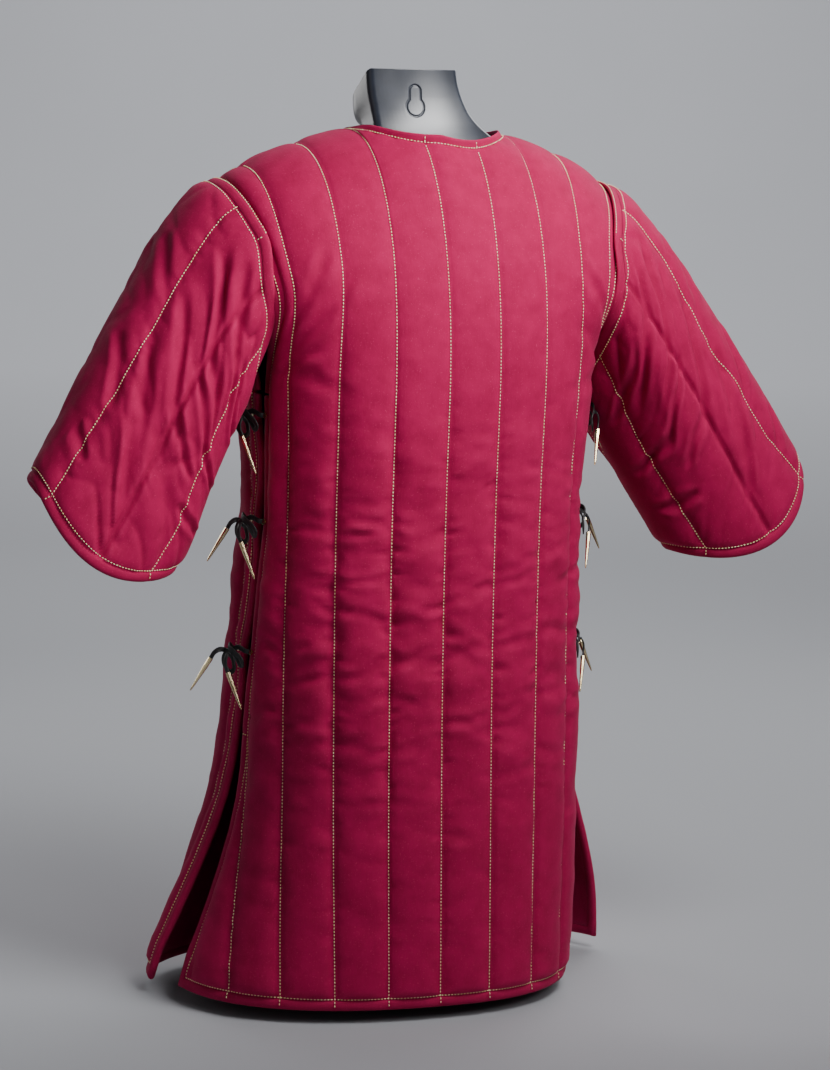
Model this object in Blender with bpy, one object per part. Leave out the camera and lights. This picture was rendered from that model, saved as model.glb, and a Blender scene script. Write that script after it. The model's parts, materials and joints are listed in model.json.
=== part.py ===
"""Gambeson: a quilted arming coat with short sleeves and side ties, on a limbless dress form.

Metres, +Z up. The wearer faces -Y and the wearer's left is +X. The dress form stands on z = 0.
"""
import math

import bpy
import numpy as np

# Overall sizes
HEM_Z = 0.014
ARMPIT_Z = 0.660
QUILT_PITCH = 0.057
CENTRE_DRIFT = -0.014
QUILT_LINES = 10
SEAM_GAP = 0.0003

# Padded wall: thin on a stitched line, thick between two lines
WALL_AT_LINE = 0.0045
WALL_AT_MIDDLE = 0.0125
WALL_AT_EDGE = 0.0065
PUFF_SHARPNESS = 0.55
EDGE_TAPER = 0.020

# Rolled bindings round every edge
BINDING_WIDTH = 0.0110
BINDING_THICKNESS = 0.0095
NECK_BINDING_THICKNESS = 0.0065
BINDING_PROFILE = ((1.0, 0.0), (0.6, 1.0), (-0.6, 1.0), (-1.0, 0.0), (-0.6, -1.0), (0.6, -1.0))
ROLL_GAP = 0.0006
NECK_ROLL_GAP = 0.0006
ARMHOLE_ROLL_GAP = 0.0014
HEAD_ROLL_GAP = 0.0014

# Body sections below the armpit, one row a height; middle is the Y of the widest point
SECTION_COLUMNS = ("z", "left", "right", "middle", "back", "front", "power")
SECTIONS = (
    (0.014, 0.257, 0.182, 0.000, 0.172, -0.150, 2.3),
    (0.110, 0.219, 0.185, 0.000, 0.168, -0.143, 2.3),
    (0.220, 0.188, 0.186, 0.000, 0.163, -0.136, 2.4),
    (0.340, 0.184, 0.181, 0.005, 0.158, -0.128, 2.5),
    (0.460, 0.175, 0.177, 0.010, 0.156, -0.122, 2.5),
    (0.560, 0.169, 0.176, 0.015, 0.157, -0.120, 2.5),
    (0.660, 0.176, 0.186, 0.016, 0.160, -0.122, 2.5),
)
SECTION_BLEND = 0.035

# Where each panel's side edge lies: its Y at a height, back panel then front panel
SIDE_EDGE_COLUMNS = ("z", "back_left", "back_right", "front_left", "front_right")
SIDE_EDGES = (
    (0.014, 0.020, -0.010, -0.040, -0.045),
    (0.220, 0.026, 0.010, -0.008, -0.010),
    (0.340, 0.033, 0.030, 0.012, 0.010),
    (0.460, 0.041, 0.047, 0.024, 0.030),
    (0.660, 0.050, 0.052, 0.033, 0.034),
)
FRONT_SPREAD_LEFT = 0.022
FRONT_SPREAD_RIGHT = 0.090

# Shoulders and neck
SHOULDER_LEFT = 0.232
SHOULDER_RIGHT = 0.237
RIDGE_TOP_Z = 0.953
RIDGE_SLOPE = 0.175
RIDGE_CURVE = 0.60
RIDGE_LEFT_DROP = 0.004
SHOULDER_END_DROP = 0.010
RIDGE_Y = 0.0
SHOULDER_POWER = 2.3
NECK_SEAM_HALF_WIDTH = 0.0855
NECK_DRIFT = -0.014
NECK_SEAM_BACK = 0.084
NECK_SEAM_FRONT = 0.102
YOKE_FLAT_HALF_WIDTH = 0.23
YOKE_FALL_BACK = 0.25
YOKE_FALL_FRONT = 0.45
YOKE_FLAT_RISE_BACK = 0.35
YOKE_FLAT_RISE_FRONT = 0.60
ARMPIT_GAP = 0.003
ARMHOLE_INSET_HEIGHT = 0.28

# Mesh density of the panels
STEPS_PER_CHANNEL = 3
OUTER_STEPS = 3
NECK_COLUMN_SHARES = (0.95, 1.0)
BODY_ROWS = 10
YOKE_ROWS = 8

# Sleeves, worked out on the wearer's left and mirrored for the right
SLEEVE_RING = 28
SLEEVE_ROWS = 9
SLEEVE_WALL_AT_LINE = 0.0045
SLEEVE_WALL_AT_MIDDLE = 0.0105
HEAD_WALL = 0.0055
HEAD_BINDING_THICKNESS = 0.0060
HEAD_PLACES = (
    (0.125, 0.031, 0.0125),
    (0.250, 0.030, 0.0140),
    (0.375, -0.002, 0.0110),
    (0.500, -0.010, 0.0114),
    (0.750, -0.010, 0.0101),
    (1.000, -0.010, 0.0097),
)
HEAD_FRONT_OUT = 0.020
HEAD_FIRST_ROW = 2
HEAD_TURN = 0.024
UNDERARM_DIRECTION = (0.30, 0.0, -0.95)
HEAD_DIRECTION = (0.70, 0.0, -0.71)
HEAD_TENSION = 0.55
SLEEVE_LINE_ANGLES = (-130.0, -90.0, -42.0, 42.0, 90.0, 130.0)
CUFF_CENTRE_LEFT = (0.3520, 0.028, 0.5230)
CUFF_CENTRE_RIGHT = (-0.3920, 0.028, 0.5340)
CUFF_OUTWARD = (0.838, 0.0, 0.545)
CUFF_DOWN = (0.545, 0.0, -0.838)
CUFF_HALF_WIDTH = 0.087
CUFF_HALF_DEPTH = 0.058
CUFF_BULGE_BACK = 0.043
CUFF_BULGE_FRONT = 0.012
UNDERARM_LEFT = (0.216, 0.030, 0.668)
UNDERARM_RIGHT = (-0.225, 0.030, 0.668)
UNDERARM_POINTS = ((0.042, 0.012), (0.0, 0.0), (-0.058, 0.016))

# Dress form: rings below the armpit, then the same shoulders as the garment, a little inside it
FORM_COLUMNS = ("z", "left", "right", "middle", "back", "front", "power")
FORM_SECTIONS = (
    (0.000, 0.140, 0.140, 0.005, 0.100, -0.085, 2.4),
    (0.080, 0.158, 0.158, 0.005, 0.118, -0.100, 2.4),
    (0.200, 0.162, 0.162, 0.005, 0.130, -0.108, 2.4),
    (0.340, 0.154, 0.154, 0.008, 0.122, -0.100, 2.4),
    (0.460, 0.152, 0.152, 0.010, 0.128, -0.104, 2.4),
    (0.560, 0.157, 0.157, 0.014, 0.144, -0.112, 2.4),
    (0.660, 0.168, 0.174, 0.016, 0.152, -0.114, 2.4),
)
FORM_ROWS = (0.0, 0.03, 0.08, 0.14, 0.20, 0.27, 0.34, 0.40, 0.46, 0.52, 0.58)
FORM_SIDE_STEPS = 8
FORM_SHOULDER_LEFT = 0.212
FORM_SHOULDER_RIGHT = 0.218
FORM_SHOULDER_CLEARANCE = 0.0010
FORM_NECK_CLEARANCE = 0.0035
NECK_COLUMNS = ("z", "x", "half_width", "back", "front")
NECK_SECTIONS = (
    (0.870, 0.0000, 0.0570, 0.0750, -0.0620),
    (0.912, 0.0000, 0.0525, 0.0640, -0.0580),
    (0.932, 0.0020, 0.0495, 0.0560, -0.0550),
    (0.955, 0.0070, 0.0500, 0.0480, -0.0520),
    (0.980, 0.0115, 0.0515, 0.0450, -0.0500),
    (1.006, 0.0115, 0.0515, 0.0440, -0.0500),
)
NECK_POWER = 4.0
NECK_SIDES = 28
KEYHOLE_X = 0.0125
KEYHOLE_Z = 0.966
KEYHOLE_RADIUS = 0.0098
KEYHOLE_SLOT_RADIUS = 0.0064
KEYHOLE_RISE = 0.0165
KEYHOLE_DEPTH = 0.0012

# Side ties: two laces each, tied in a bow; a route's sizes run outward, toward the back and up
TIE_COLUMNS = ("z", "left_out", "right_out")
TIES = (
    (0.640, -0.009, -0.004),
    (0.525, 0.000, 0.002),
    (0.383, 0.004, 0.000),
)
LACE_RADIUS = 0.0016
LACE_STEP = 0.0070
LACE_SHIFT_FROM = 0.016
LACE_SHIFT_OVER = 0.010
LACE_STARTS = (0.0026, 0.0055)
EYELET_RADIUS = 0.0036
EYELET_TUBE = 0.0008
EYELET_SIDES = 6
AGLET_LENGTH = 0.042
AGLET_TOP_RADIUS = 0.0027
AGLET_TIP_RADIUS = 0.0011
AGLET_SIDES = 8
FRONT_LACE_ROUTE = (
    (0.0125, -0.0105, 0.0048),
    (0.0170, -0.0050, 0.0055),
    (0.0180, 0.0020, 0.0030),
    (0.0150, 0.0090, -0.0010),
    (0.0110, 0.0150, -0.0060),
    (0.0085, 0.0165, -0.0120),
    (0.0090, 0.0115, -0.0150),
    (0.0100, 0.0050, -0.0110),
    (0.0110, -0.0010, -0.0065),
    (0.0120, -0.0070, -0.0045),
    (0.0170, -0.0125, -0.0015),
    (0.0225, -0.0155, -0.0010),
    (0.0265, -0.0170, -0.0050),
    (0.0290, -0.0182, -0.0100),
)
BACK_LACE_ROUTE = (
    (0.0090, 0.0030, 0.0040),
    (0.0120, -0.0020, 0.0010),
    (0.0155, -0.0065, -0.0005),
    (0.0200, -0.0095, -0.0040),
    (0.0220, -0.0090, -0.0120),
    (0.0205, -0.0040, -0.0190),
    (0.0175, 0.0020, -0.0230),
    (0.0150, 0.0065, -0.0190),
    (0.0150, 0.0050, -0.0120),
    (0.0165, 0.0020, -0.0060),
    (0.0200, 0.0020, -0.0030),
    (0.0235, 0.0030, -0.0075),
    (0.0235, 0.0035, -0.0160),
    (0.0218, 0.0063, -0.0225),
)

CRIMSON = (0.300, 0.012, 0.048, 1.0)
CRIMSON_EDGE = (0.270, 0.010, 0.042, 1.0)
BLACK_LEATHER = (0.012, 0.012, 0.013, 1.0)
BRASS = (0.72, 0.49, 0.22, 1.0)
FORM_GREY = (0.035, 0.038, 0.045, 1.0)


def clear_scene():
    for item in list(bpy.data.objects):
        bpy.data.objects.remove(item, do_unlink=True)


def make_material(name, colour, roughness, metallic=0.0):
    material = bpy.data.materials.new(name)
    material.use_nodes = True
    shader = material.node_tree.nodes["Principled BSDF"]
    shader.inputs["Base Color"].default_value = colour
    shader.inputs["Roughness"].default_value = roughness
    shader.inputs["Metallic"].default_value = metallic
    return material


def add_mesh(name, points, faces, material, smooth=True):
    mesh = bpy.data.meshes.new(name)
    mesh.from_pydata([tuple(float(v) for v in p) for p in points], [], faces)
    mesh.validate()
    mesh.materials.append(material)
    if smooth:
        mesh.shade_smooth()
        mesh.set_sharp_from_angle(angle=math.radians(50.0))
    item = bpy.data.objects.new(name, mesh)
    bpy.context.collection.objects.link(item)
    return item


def smoothstep(value):
    clipped = np.clip(value, 0.0, 1.0)
    return clipped * clipped * (3.0 - 2.0 * clipped)


def unit(vectors):
    return vectors / np.maximum(np.linalg.norm(vectors, axis=-1, keepdims=True), 1e-12)


def table_value(table, columns, name, height):
    """Read one named column of a table at a height, eased where its rows turn."""
    heights = [row[0] for row in table]
    values = [row[columns.index(name)] for row in table]
    around = (height - SECTION_BLEND, height, height + SECTION_BLEND)
    return float(np.mean(np.interp(around, heights, values)))


def section_curve(height, side, left):
    """Quarter section from the centre line to past the widest point, with its running length."""
    wide = table_value(SECTIONS, SECTION_COLUMNS, "left" if left else "right", height)
    deep = table_value(SECTIONS, SECTION_COLUMNS, "back" if side > 0 else "front", height)
    middle = table_value(SECTIONS, SECTION_COLUMNS, "middle", height)
    power = table_value(SECTIONS, SECTION_COLUMNS, "power", height)
    turn = np.linspace(0.0, math.radians(115.0), 231)
    cosine = np.cos(turn)
    x = wide * np.abs(np.sin(turn)) ** (2.0 / power)
    y = middle + (deep - middle) * np.sign(cosine) * np.abs(cosine) ** (2.0 / power)
    length = np.concatenate([[0.0], np.cumsum(np.hypot(np.diff(x), np.diff(y)))])
    return x, y, length


def body_point(side, lateral, height):
    """Inner surface below the armpit, at a cloth distance from the body's middle."""
    x, y, length = section_curve(height, side, lateral > 0.0)
    px = np.interp(abs(lateral), length, x)
    py = np.interp(abs(lateral), length, y)
    return np.array([math.copysign(px, lateral), py, height])


def edge_lateral(side, left, height):
    """Cloth distance from the body's middle to the panel's finished side edge."""
    name = ("back" if side > 0 else "front") + ("_left" if left else "_right")
    edge_y = table_value(SIDE_EDGES, SIDE_EDGE_COLUMNS, name, height)
    x, y, length = section_curve(height, side, left)
    return float(np.interp(-side * edge_y, -side * y, length))


def ridge_height(x):
    """Height of the shoulder line; the wearer's left is a little lower, as the garment sits."""
    drop = SHOULDER_END_DROP * smoothstep((abs(x) - 0.16) / 0.08) + RIDGE_LEFT_DROP * smoothstep(x / 0.06)
    return RIDGE_TOP_Z - RIDGE_SLOPE * abs(x) - RIDGE_CURVE * x * x - float(drop)


def yoke_depth(side, lateral, base_y, rise):
    """Y of the cloth before it turns in to the shoulder: flat across the shoulder blades."""
    centre = table_value(SECTIONS, SECTION_COLUMNS, "back" if side > 0 else "front", ARMPIT_Z)
    fall = YOKE_FALL_BACK if side > 0 else YOKE_FALL_FRONT
    flat_rise = YOKE_FLAT_RISE_BACK if side > 0 else YOKE_FLAT_RISE_FRONT
    flat = centre * (1.0 - fall * (lateral / YOKE_FLAT_HALF_WIDTH) ** 2)
    return base_y + (flat - base_y) * float(smoothstep(rise / flat_rise))


def yoke_point(side, lateral, rise):
    """Inner surface above the armpit; rise runs from 0 at the armpit to 1 on the shoulder or neck."""
    base = body_point(side, lateral, ARMPIT_Z)
    top_x = lateral
    reach = NECK_SEAM_BACK if side > 0 else NECK_SEAM_FRONT
    end = math.pi / 2.0
    from_centre = abs(top_x - NECK_DRIFT) / NECK_SEAM_HALF_WIDTH
    if from_centre < 1.0:
        neck_y = reach * math.sqrt(1.0 - from_centre ** 2)
        share = min(neck_y / abs(yoke_depth(side, lateral, base[1], 1.0) - RIDGE_Y), 1.0)
        end = math.acos(share ** (SHOULDER_POWER / 2.0))
    turn = rise * end
    across = smoothstep(rise)
    x = base[0] + (top_x - base[0]) * across
    depth = yoke_depth(side, lateral, base[1], rise)
    y = RIDGE_Y + (depth - RIDGE_Y) * max(math.cos(turn), 0.0) ** (2.0 / SHOULDER_POWER)
    z = ARMPIT_Z + (ridge_height(top_x) - ARMPIT_Z) * math.sin(turn) ** (2.0 / SHOULDER_POWER)
    return np.array([x, y + side * SEAM_GAP, z])


def panel_half_width(side, left, row_height, rise):
    """Cloth distance from the centre line to the panel's own edge, inside its binding."""
    if rise <= 0.0:
        return edge_lateral(side, left, row_height) - BINDING_WIDTH
    start = edge_lateral(side, left, ARMPIT_Z) - BINDING_WIDTH
    end = (SHOULDER_LEFT if left else SHOULDER_RIGHT) - BINDING_WIDTH
    return start + (end - start) * smoothstep(rise / ARMHOLE_INSET_HEIGHT)


def lateral_steps(half_left, half_right):
    """Cloth distances of the columns, from the wearer's right edge to the left edge."""
    inner = (QUILT_LINES // 2 - 1.5) * QUILT_PITCH
    line_steps = np.linspace(-inner, inner, int(round(2.0 * inner / QUILT_PITCH)) * STEPS_PER_CHANNEL + 1)
    neck_steps = NECK_SEAM_HALF_WIDTH * np.array(NECK_COLUMN_SHARES)
    neck_steps = np.concatenate([neck_steps, -neck_steps]) + NECK_DRIFT
    middle = np.unique(np.round(np.concatenate([line_steps + CENTRE_DRIFT, neck_steps]), 6))
    right = np.linspace(-half_right, middle[0], OUTER_STEPS + 1)[:-1]
    left = np.linspace(middle[-1], half_left, OUTER_STEPS + 1)[1:]
    return np.concatenate([right, middle, left])


def panel_grid(side):
    """Inner surface points and their cloth distances, rows from the hem to the shoulders."""
    rows = [("body", z) for z in np.linspace(HEM_Z + BINDING_WIDTH, ARMPIT_Z, BODY_ROWS)]
    rows += [("yoke", r) for r in np.linspace(0.0, 1.0, YOKE_ROWS + 1)[1:]]
    points = []
    laterals = []
    for kind, value in rows:
        height = value if kind == "body" else ARMPIT_Z
        rise = value if kind == "yoke" else 0.0
        steps = lateral_steps(
            panel_half_width(side, True, height, rise), panel_half_width(side, False, height, rise)
        )
        if kind == "body":
            points.append([body_point(side, s, height) for s in steps])
        else:
            points.append([yoke_point(side, s, rise) for s in steps])
        laterals.append(steps)
    grid = np.array(points)
    if side < 0:
        spread_front_corners(grid)
    return grid, np.array(laterals)


def spread_front_corners(grid):
    """The front skirt's corners stand out beyond the back panel's."""
    share = smoothstep((0.34 - grid[..., 2]) / 0.34)
    side_share = smoothstep((np.abs(grid[..., 0]) - 0.09) / 0.09)
    spread = np.where(grid[..., 0] > 0.0, FRONT_SPREAD_LEFT, -FRONT_SPREAD_RIGHT)
    grid[..., 0] += spread * share * side_share


def outward_normals(grid, side):
    along = np.gradient(grid, axis=1)
    up = np.gradient(grid, axis=0)
    normals = unit(np.cross(up, along) * -1.0)
    flip = np.sign(normals[0, grid.shape[1] // 2, 1]) * side
    return normals * flip


def panel_wall(laterals):
    """Wall thickness: each channel swells between its two stitched lines."""
    phase = (laterals - CENTRE_DRIFT) / QUILT_PITCH + 0.5
    swell = np.abs(np.sin(np.pi * phase)) ** PUFF_SHARPNESS
    wall = WALL_AT_LINE + (WALL_AT_MIDDLE - WALL_AT_LINE) * swell
    right_edge = laterals - laterals[:, :1]
    left_edge = laterals[:, -1:] - laterals
    near = smoothstep(np.minimum(right_edge, left_edge) / EDGE_TAPER)
    return WALL_AT_EDGE + (wall - WALL_AT_EDGE) * near


def closed_wall(inner, outer):
    """Faces of a wall between two grids, closed along its rim; outer normals point out."""
    rows, columns = inner.shape[:2]
    count = rows * columns
    points = np.concatenate([inner.reshape(-1, 3), outer.reshape(-1, 3)])

    def at(row, column, layer):
        return layer * count + row * columns + column

    faces = []
    for row in range(rows - 1):
        for column in range(columns - 1):
            quad = [(row, column), (row, column + 1), (row + 1, column + 1), (row + 1, column)]
            faces.append([at(r, c, 1) for r, c in quad])
            faces.append([at(r, c, 0) for r, c in reversed(quad)])
    rim = [(0, c) for c in range(columns)]
    rim += [(r, columns - 1) for r in range(1, rows)]
    rim += [(rows - 1, c) for c in range(columns - 2, -1, -1)]
    rim += [(r, 0) for r in range(rows - 2, 0, -1)]
    for (r0, c0), (r1, c1) in zip(rim, rim[1:] + rim[:1]):
        faces.append([at(r0, c0, 0), at(r1, c1, 0), at(r1, c1, 1), at(r0, c0, 1)])
    return points, faces


def triangulated(points, faces):
    """Split quads along the shorter diagonal, so that the solid has no bent faces."""
    result = []
    for face in faces:
        if len(face) != 4:
            result.append(face)
            continue
        a, b, c, d = face
        if np.linalg.norm(points[a] - points[c]) <= np.linalg.norm(points[b] - points[d]):
            result += [[a, b, c], [a, c, d]]
        else:
            result += [[a, b, d], [b, c, d]]
    return result


def face_sign(points, faces):
    """Volume sign of a closed mesh, to turn its faces out."""
    total = 0.0
    for face in faces:
        a = points[face[0]]
        for i in range(1, len(face) - 1):
            total += np.dot(a, np.cross(points[face[i]], points[face[i + 1]]))
    return total


def add_solid(name, points, faces, material):
    faces = triangulated(points, faces)
    if face_sign(points, faces) < 0.0:
        faces = [list(reversed(face)) for face in faces]
    return add_mesh(name, points, faces, material)


class Panel:
    """One body panel: inner and outer grids, its normals and its edges."""

    def __init__(self, side):
        self.side = side
        self.inner, self.laterals = panel_grid(side)
        self.normals = outward_normals(self.inner, side)
        self.wall = panel_wall(self.laterals)
        self.outer = self.inner + self.normals * self.wall[..., None]
        self.meet_at_shoulder()
        self.armpit_row = BODY_ROWS - 1

    def meet_at_shoulder(self):
        """The shoulder seam is a plane: both panels end on it."""
        steps = np.abs(self.laterals[-1] - NECK_DRIFT)
        seam = steps >= NECK_SEAM_HALF_WIDTH - 1e-6
        self.outer[-1, seam, 1] = RIDGE_Y + self.side * SEAM_GAP
        self.inner[-1, seam, 1] = RIDGE_Y + self.side * SEAM_GAP

    def build(self, name, material):
        points, faces = closed_wall(self.inner, self.outer)
        return add_solid(name, points, faces, material)

    def edge(self, rows, column):
        neighbour = self.inner[rows, 1 if column == 0 else -2]
        return edge_run(self.inner[rows, column], neighbour, self.normals[rows, column])

    def hem(self):
        return edge_run(self.inner[0], self.inner[1], self.normals[0])

    def neckline(self):
        inside = np.abs(self.laterals[-1] - NECK_DRIFT) <= NECK_SEAM_HALF_WIDTH + 1e-6
        return edge_run(self.inner[-1, inside], self.inner[-2, inside], self.normals[-1, inside])


def edge_run(points, neighbours, normals):
    """Edge points with the direction away from the panel and the normal of the cloth."""
    tangents = unit(np.gradient(points, axis=0))
    away = unit(np.cross(tangents, normals))
    toward_neighbour = np.sum(away * (neighbours - points), axis=1)
    turn = -np.sign(toward_neighbour[len(points) // 2])
    return points, away * turn, normals


def reversed_run(run):
    return tuple(part[::-1] for part in run)


def joined(first, second):
    """Join two runs that share their meeting point, with a mitre where they turn a corner."""
    points = np.concatenate([first[0][:-1], second[0]])
    aways = np.concatenate([first[1][:-1], second[1]])
    normals = np.concatenate([first[2][:-1], second[2]])
    meet = len(first[0]) - 1
    aways[meet] = mitre(first[1][-1], second[1][0])
    normals[meet] = unit(first[2][-1] + second[2][0])
    return points, aways, normals


def mitre(one, other):
    total = one + other
    return total / (1.0 + np.dot(one, other))


def closed_run(run):
    """Merge the last point of a closed run into its first."""
    points, aways, normals = (part.copy() for part in run)
    aways[0] = mitre(aways[0], aways[-1])
    normals[0] = unit(normals[0] + normals[-1])
    return points[:-1], aways[:-1], normals[:-1]


def binding_section(thickness, wall, gap=ROLL_GAP):
    """Rounded roll: offsets away from the panel's rim and along the cloth's normal."""
    reach = (BINDING_WIDTH - gap) / 2.0
    across = [gap + reach * (1.0 + share) for share, up in BINDING_PROFILE]
    lift = [(wall + thickness * up) / 2.0 for share, up in BINDING_PROFILE]
    return np.array(across), np.array(lift)


def add_roll(name, run, section, material, closed=False):
    """Sweep a rolled section along an edge; its offsets run away from the panel and outward."""
    across, up = section
    points, aways, normals = run
    rings = points[:, None] + aways[:, None] * across[None, :, None] + normals[:, None] * up[None, :, None]
    count, around = rings.shape[:2]
    faces = []
    for i in range(count if closed else count - 1):
        for j in range(around):
            k = (j + 1) % around
            n = (i + 1) % count
            faces.append([i * around + j, i * around + k, n * around + k, n * around + j])
    if not closed:
        faces.append(list(reversed(range(around))))
        faces.append([(count - 1) * around + j for j in range(around)])
    return add_solid(name, rings.reshape(-1, 3), faces, material)


def body_bindings(back, front, cloth):
    section = binding_section(BINDING_THICKNESS, WALL_AT_EDGE)
    armhole_section = binding_section(BINDING_THICKNESS, WALL_AT_EDGE, ARMHOLE_ROLL_GAP)
    armpit = BODY_ROWS - 1
    for panel, name in ((back, "back_edge_binding"), (front, "front_edge_binding")):
        down = np.arange(armpit, -1, -1)
        right = panel.edge(down, 0)
        left = reversed_run(panel.edge(down, -1))
        add_roll(name, joined(joined(right, panel.hem()), left), section, cloth)
    up = np.arange(armpit, armpit + YOKE_ROWS + 1)
    for column, name in ((-1, "left_armhole_binding"), (0, "right_armhole_binding")):
        run = joined(back.edge(up, column), reversed_run(front.edge(up, column)))
        add_roll(name, trimmed_run(run, ARMPIT_GAP), armhole_section, cloth)
    neck = closed_run(joined(back.neckline(), reversed_run(front.neckline())))
    neck_section = binding_section(NECK_BINDING_THICKNESS, WALL_AT_EDGE, NECK_ROLL_GAP)
    add_roll("neck_binding", neck, neck_section, cloth, closed=True)


def trimmed_run(run, amount):
    """Shorten a run at both ends, so that it stays clear of the one that follows it."""
    points, aways, normals = (part.copy() for part in run)
    for end, inner in ((0, 1), (-1, -2)):
        share = amount / np.linalg.norm(points[inner] - points[end])
        points[end] += (points[inner] - points[end]) * share
        normals[end] = unit(normals[end] + (normals[inner] - normals[end]) * share)
    return points, aways, normals


def smooth_loop(points, count):
    """Even points on a closed Catmull-Rom curve; columns after the third are carried along."""
    fine = []
    total = len(points)
    for i in range(total):
        p0, p1, p2, p3 = (points[(i + k) % total] for k in (-1, 0, 1, 2))
        for t in np.linspace(0.0, 1.0, 12, endpoint=False):
            fine.append(0.5 * (2.0 * p1 + (p2 - p0) * t + (2.0 * p0 - 5.0 * p1 + 4.0 * p2 - p3) * t * t
                               + (3.0 * p1 - p0 - 3.0 * p2 + p3) * t ** 3))
    fine = np.array(fine + [fine[0]])
    length = np.concatenate([[0.0], np.cumsum(np.linalg.norm(np.diff(fine[:, :3], axis=0), axis=1))])
    at = np.linspace(0.0, length[-1], count + 1)[:-1]
    return np.stack([np.interp(at, length, fine[:, i]) for i in range(fine.shape[1])], axis=1)


def sleeve_head(back, front, column, mirror):
    """Head edge of a sleeve's inner surface, with the way it leads: over the shoulder it laps the
    body's edge and runs along the shoulder; below it stands beside the body and runs down the arm."""
    flip = np.array([mirror, 1.0, 1.0])
    arm = unit(np.array(HEAD_DIRECTION)) * flip
    below = unit(np.array(UNDERARM_DIRECTION)) * flip
    halves = []
    for panel in (back, front):
        rows = np.arange(BODY_ROWS - 1 + HEAD_FIRST_ROW, BODY_ROWS + YOKE_ROWS)
        rises = (rows - BODY_ROWS + 1) / YOKE_ROWS
        edge = panel.inner[rows, column]
        out = unit(edge - panel.inner[rows, 1 if column == 0 else -2])
        lap, lift = (np.interp(rises, [r[0] for r in HEAD_PLACES], [r[i] for r in HEAD_PLACES])
                     for i in (1, 2))
        if panel is front:
            out = np.where(lap[:, None] > 0.0, np.array([mirror, 0.0, 0.0]), out)
            lap = np.minimum(lap, HEAD_FRONT_OUT)
        places = edge + out * lap[:, None] + panel.normals[rows, column] * lift[:, None]
        on_body = smoothstep((rises - 0.25) / 0.25)[:, None]
        halves.append(np.concatenate([places, unit(arm + (out - arm) * on_body)], axis=1))
    top = (halves[0][-1] + halves[1][-1]) / 2.0
    underarm = np.array(UNDERARM_LEFT if mirror > 0.0 else UNDERARM_RIGHT)
    low = [np.concatenate([underarm + (0.0, depth, rise), below]) for depth, rise in UNDERARM_POINTS]
    ring = [top] + list(halves[0][-2::-1]) + low + list(halves[1][:-1])
    return smooth_loop(ring, SLEEVE_RING)


def cuff_ring(mirror):
    """Cuff edge of a sleeve's inner surface; its back and front hang lower than its sides."""
    centre = np.array(CUFF_CENTRE_LEFT if mirror > 0.0 else CUFF_CENTRE_RIGHT)
    outward = unit(np.array(CUFF_OUTWARD) * (mirror, 1.0, 1.0))
    down = unit(np.array(CUFF_DOWN) * (mirror, 1.0, 1.0))
    across = np.cross(outward, down) * mirror
    turn = np.arange(SLEEVE_RING * 4) * 2.0 * math.pi / (SLEEVE_RING * 4)
    bulge = np.where(np.sin(turn) * across[1] > 0.0, CUFF_BULGE_BACK, CUFF_BULGE_FRONT)
    points = (centre + outward * CUFF_HALF_WIDTH * np.cos(turn)[:, None]
              + across * CUFF_HALF_DEPTH * np.sin(turn)[:, None]
              + down * (bulge * np.sin(turn) ** 2)[:, None])
    return smooth_loop(list(points), SLEEVE_RING)


def sleeve_grid(back, front, left):
    """Inner surface of a sleeve, rows from the head edge down to the cuff."""
    mirror = 1.0 if left else -1.0
    ring = sleeve_head(back, front, -1 if left else 0, mirror)
    head = ring[:, :3]
    shoulder = head + unit(ring[:, 3:]) * HEAD_TURN
    cuff = cuff_ring(mirror)
    start = unit(ring[:, 3:] + np.array(HEAD_DIRECTION) * (mirror, 1.0, 1.0))
    finish = unit(np.array(CUFF_DOWN) * (mirror, 1.0, 1.0))
    reach = np.linalg.norm(cuff - shoulder, axis=1, keepdims=True)
    rows = [head]
    for t in np.linspace(0.0, 1.0, SLEEVE_ROWS - 1):
        h0 = 2.0 * t ** 3 - 3.0 * t ** 2 + 1.0
        h1 = t ** 3 - 2.0 * t ** 2 + t
        h2 = -2.0 * t ** 3 + 3.0 * t ** 2
        h3 = t ** 3 - t ** 2
        rows.append(shoulder * h0 + start * reach * h1 * HEAD_TENSION + cuff * h2 + finish * reach * h3 * 0.9)
    return np.array(rows)


def sleeve_wall():
    """Thickness round the sleeve, thin on its stitched lines and plain seams."""
    turn = np.arange(SLEEVE_RING) * 360.0 / SLEEVE_RING
    lines = np.sort(np.array(SLEEVE_LINE_ANGLES) % 360.0)
    lines = np.concatenate([[lines[-1] - 360.0], lines, [lines[0] + 360.0]])
    wall = []
    for angle in turn:
        before = lines[lines <= angle + 1e-6].max()
        after = lines[lines > angle + 1e-6].min()
        swell = math.sin(math.pi * (angle - before) / (after - before)) ** PUFF_SHARPNESS
        wall.append(SLEEVE_WALL_AT_LINE + (SLEEVE_WALL_AT_MIDDLE - SLEEVE_WALL_AT_LINE) * swell)
    return np.array(wall)


def ring_normals(grid, centre_out):
    along = np.roll(grid, -1, axis=1) - np.roll(grid, 1, axis=1)
    down = np.gradient(grid, axis=0)
    normals = unit(np.cross(along, down))
    middle = grid.mean(axis=1, keepdims=True)
    flip = np.sign(np.sum(normals * (grid - middle)))
    return normals * flip * centre_out


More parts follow.
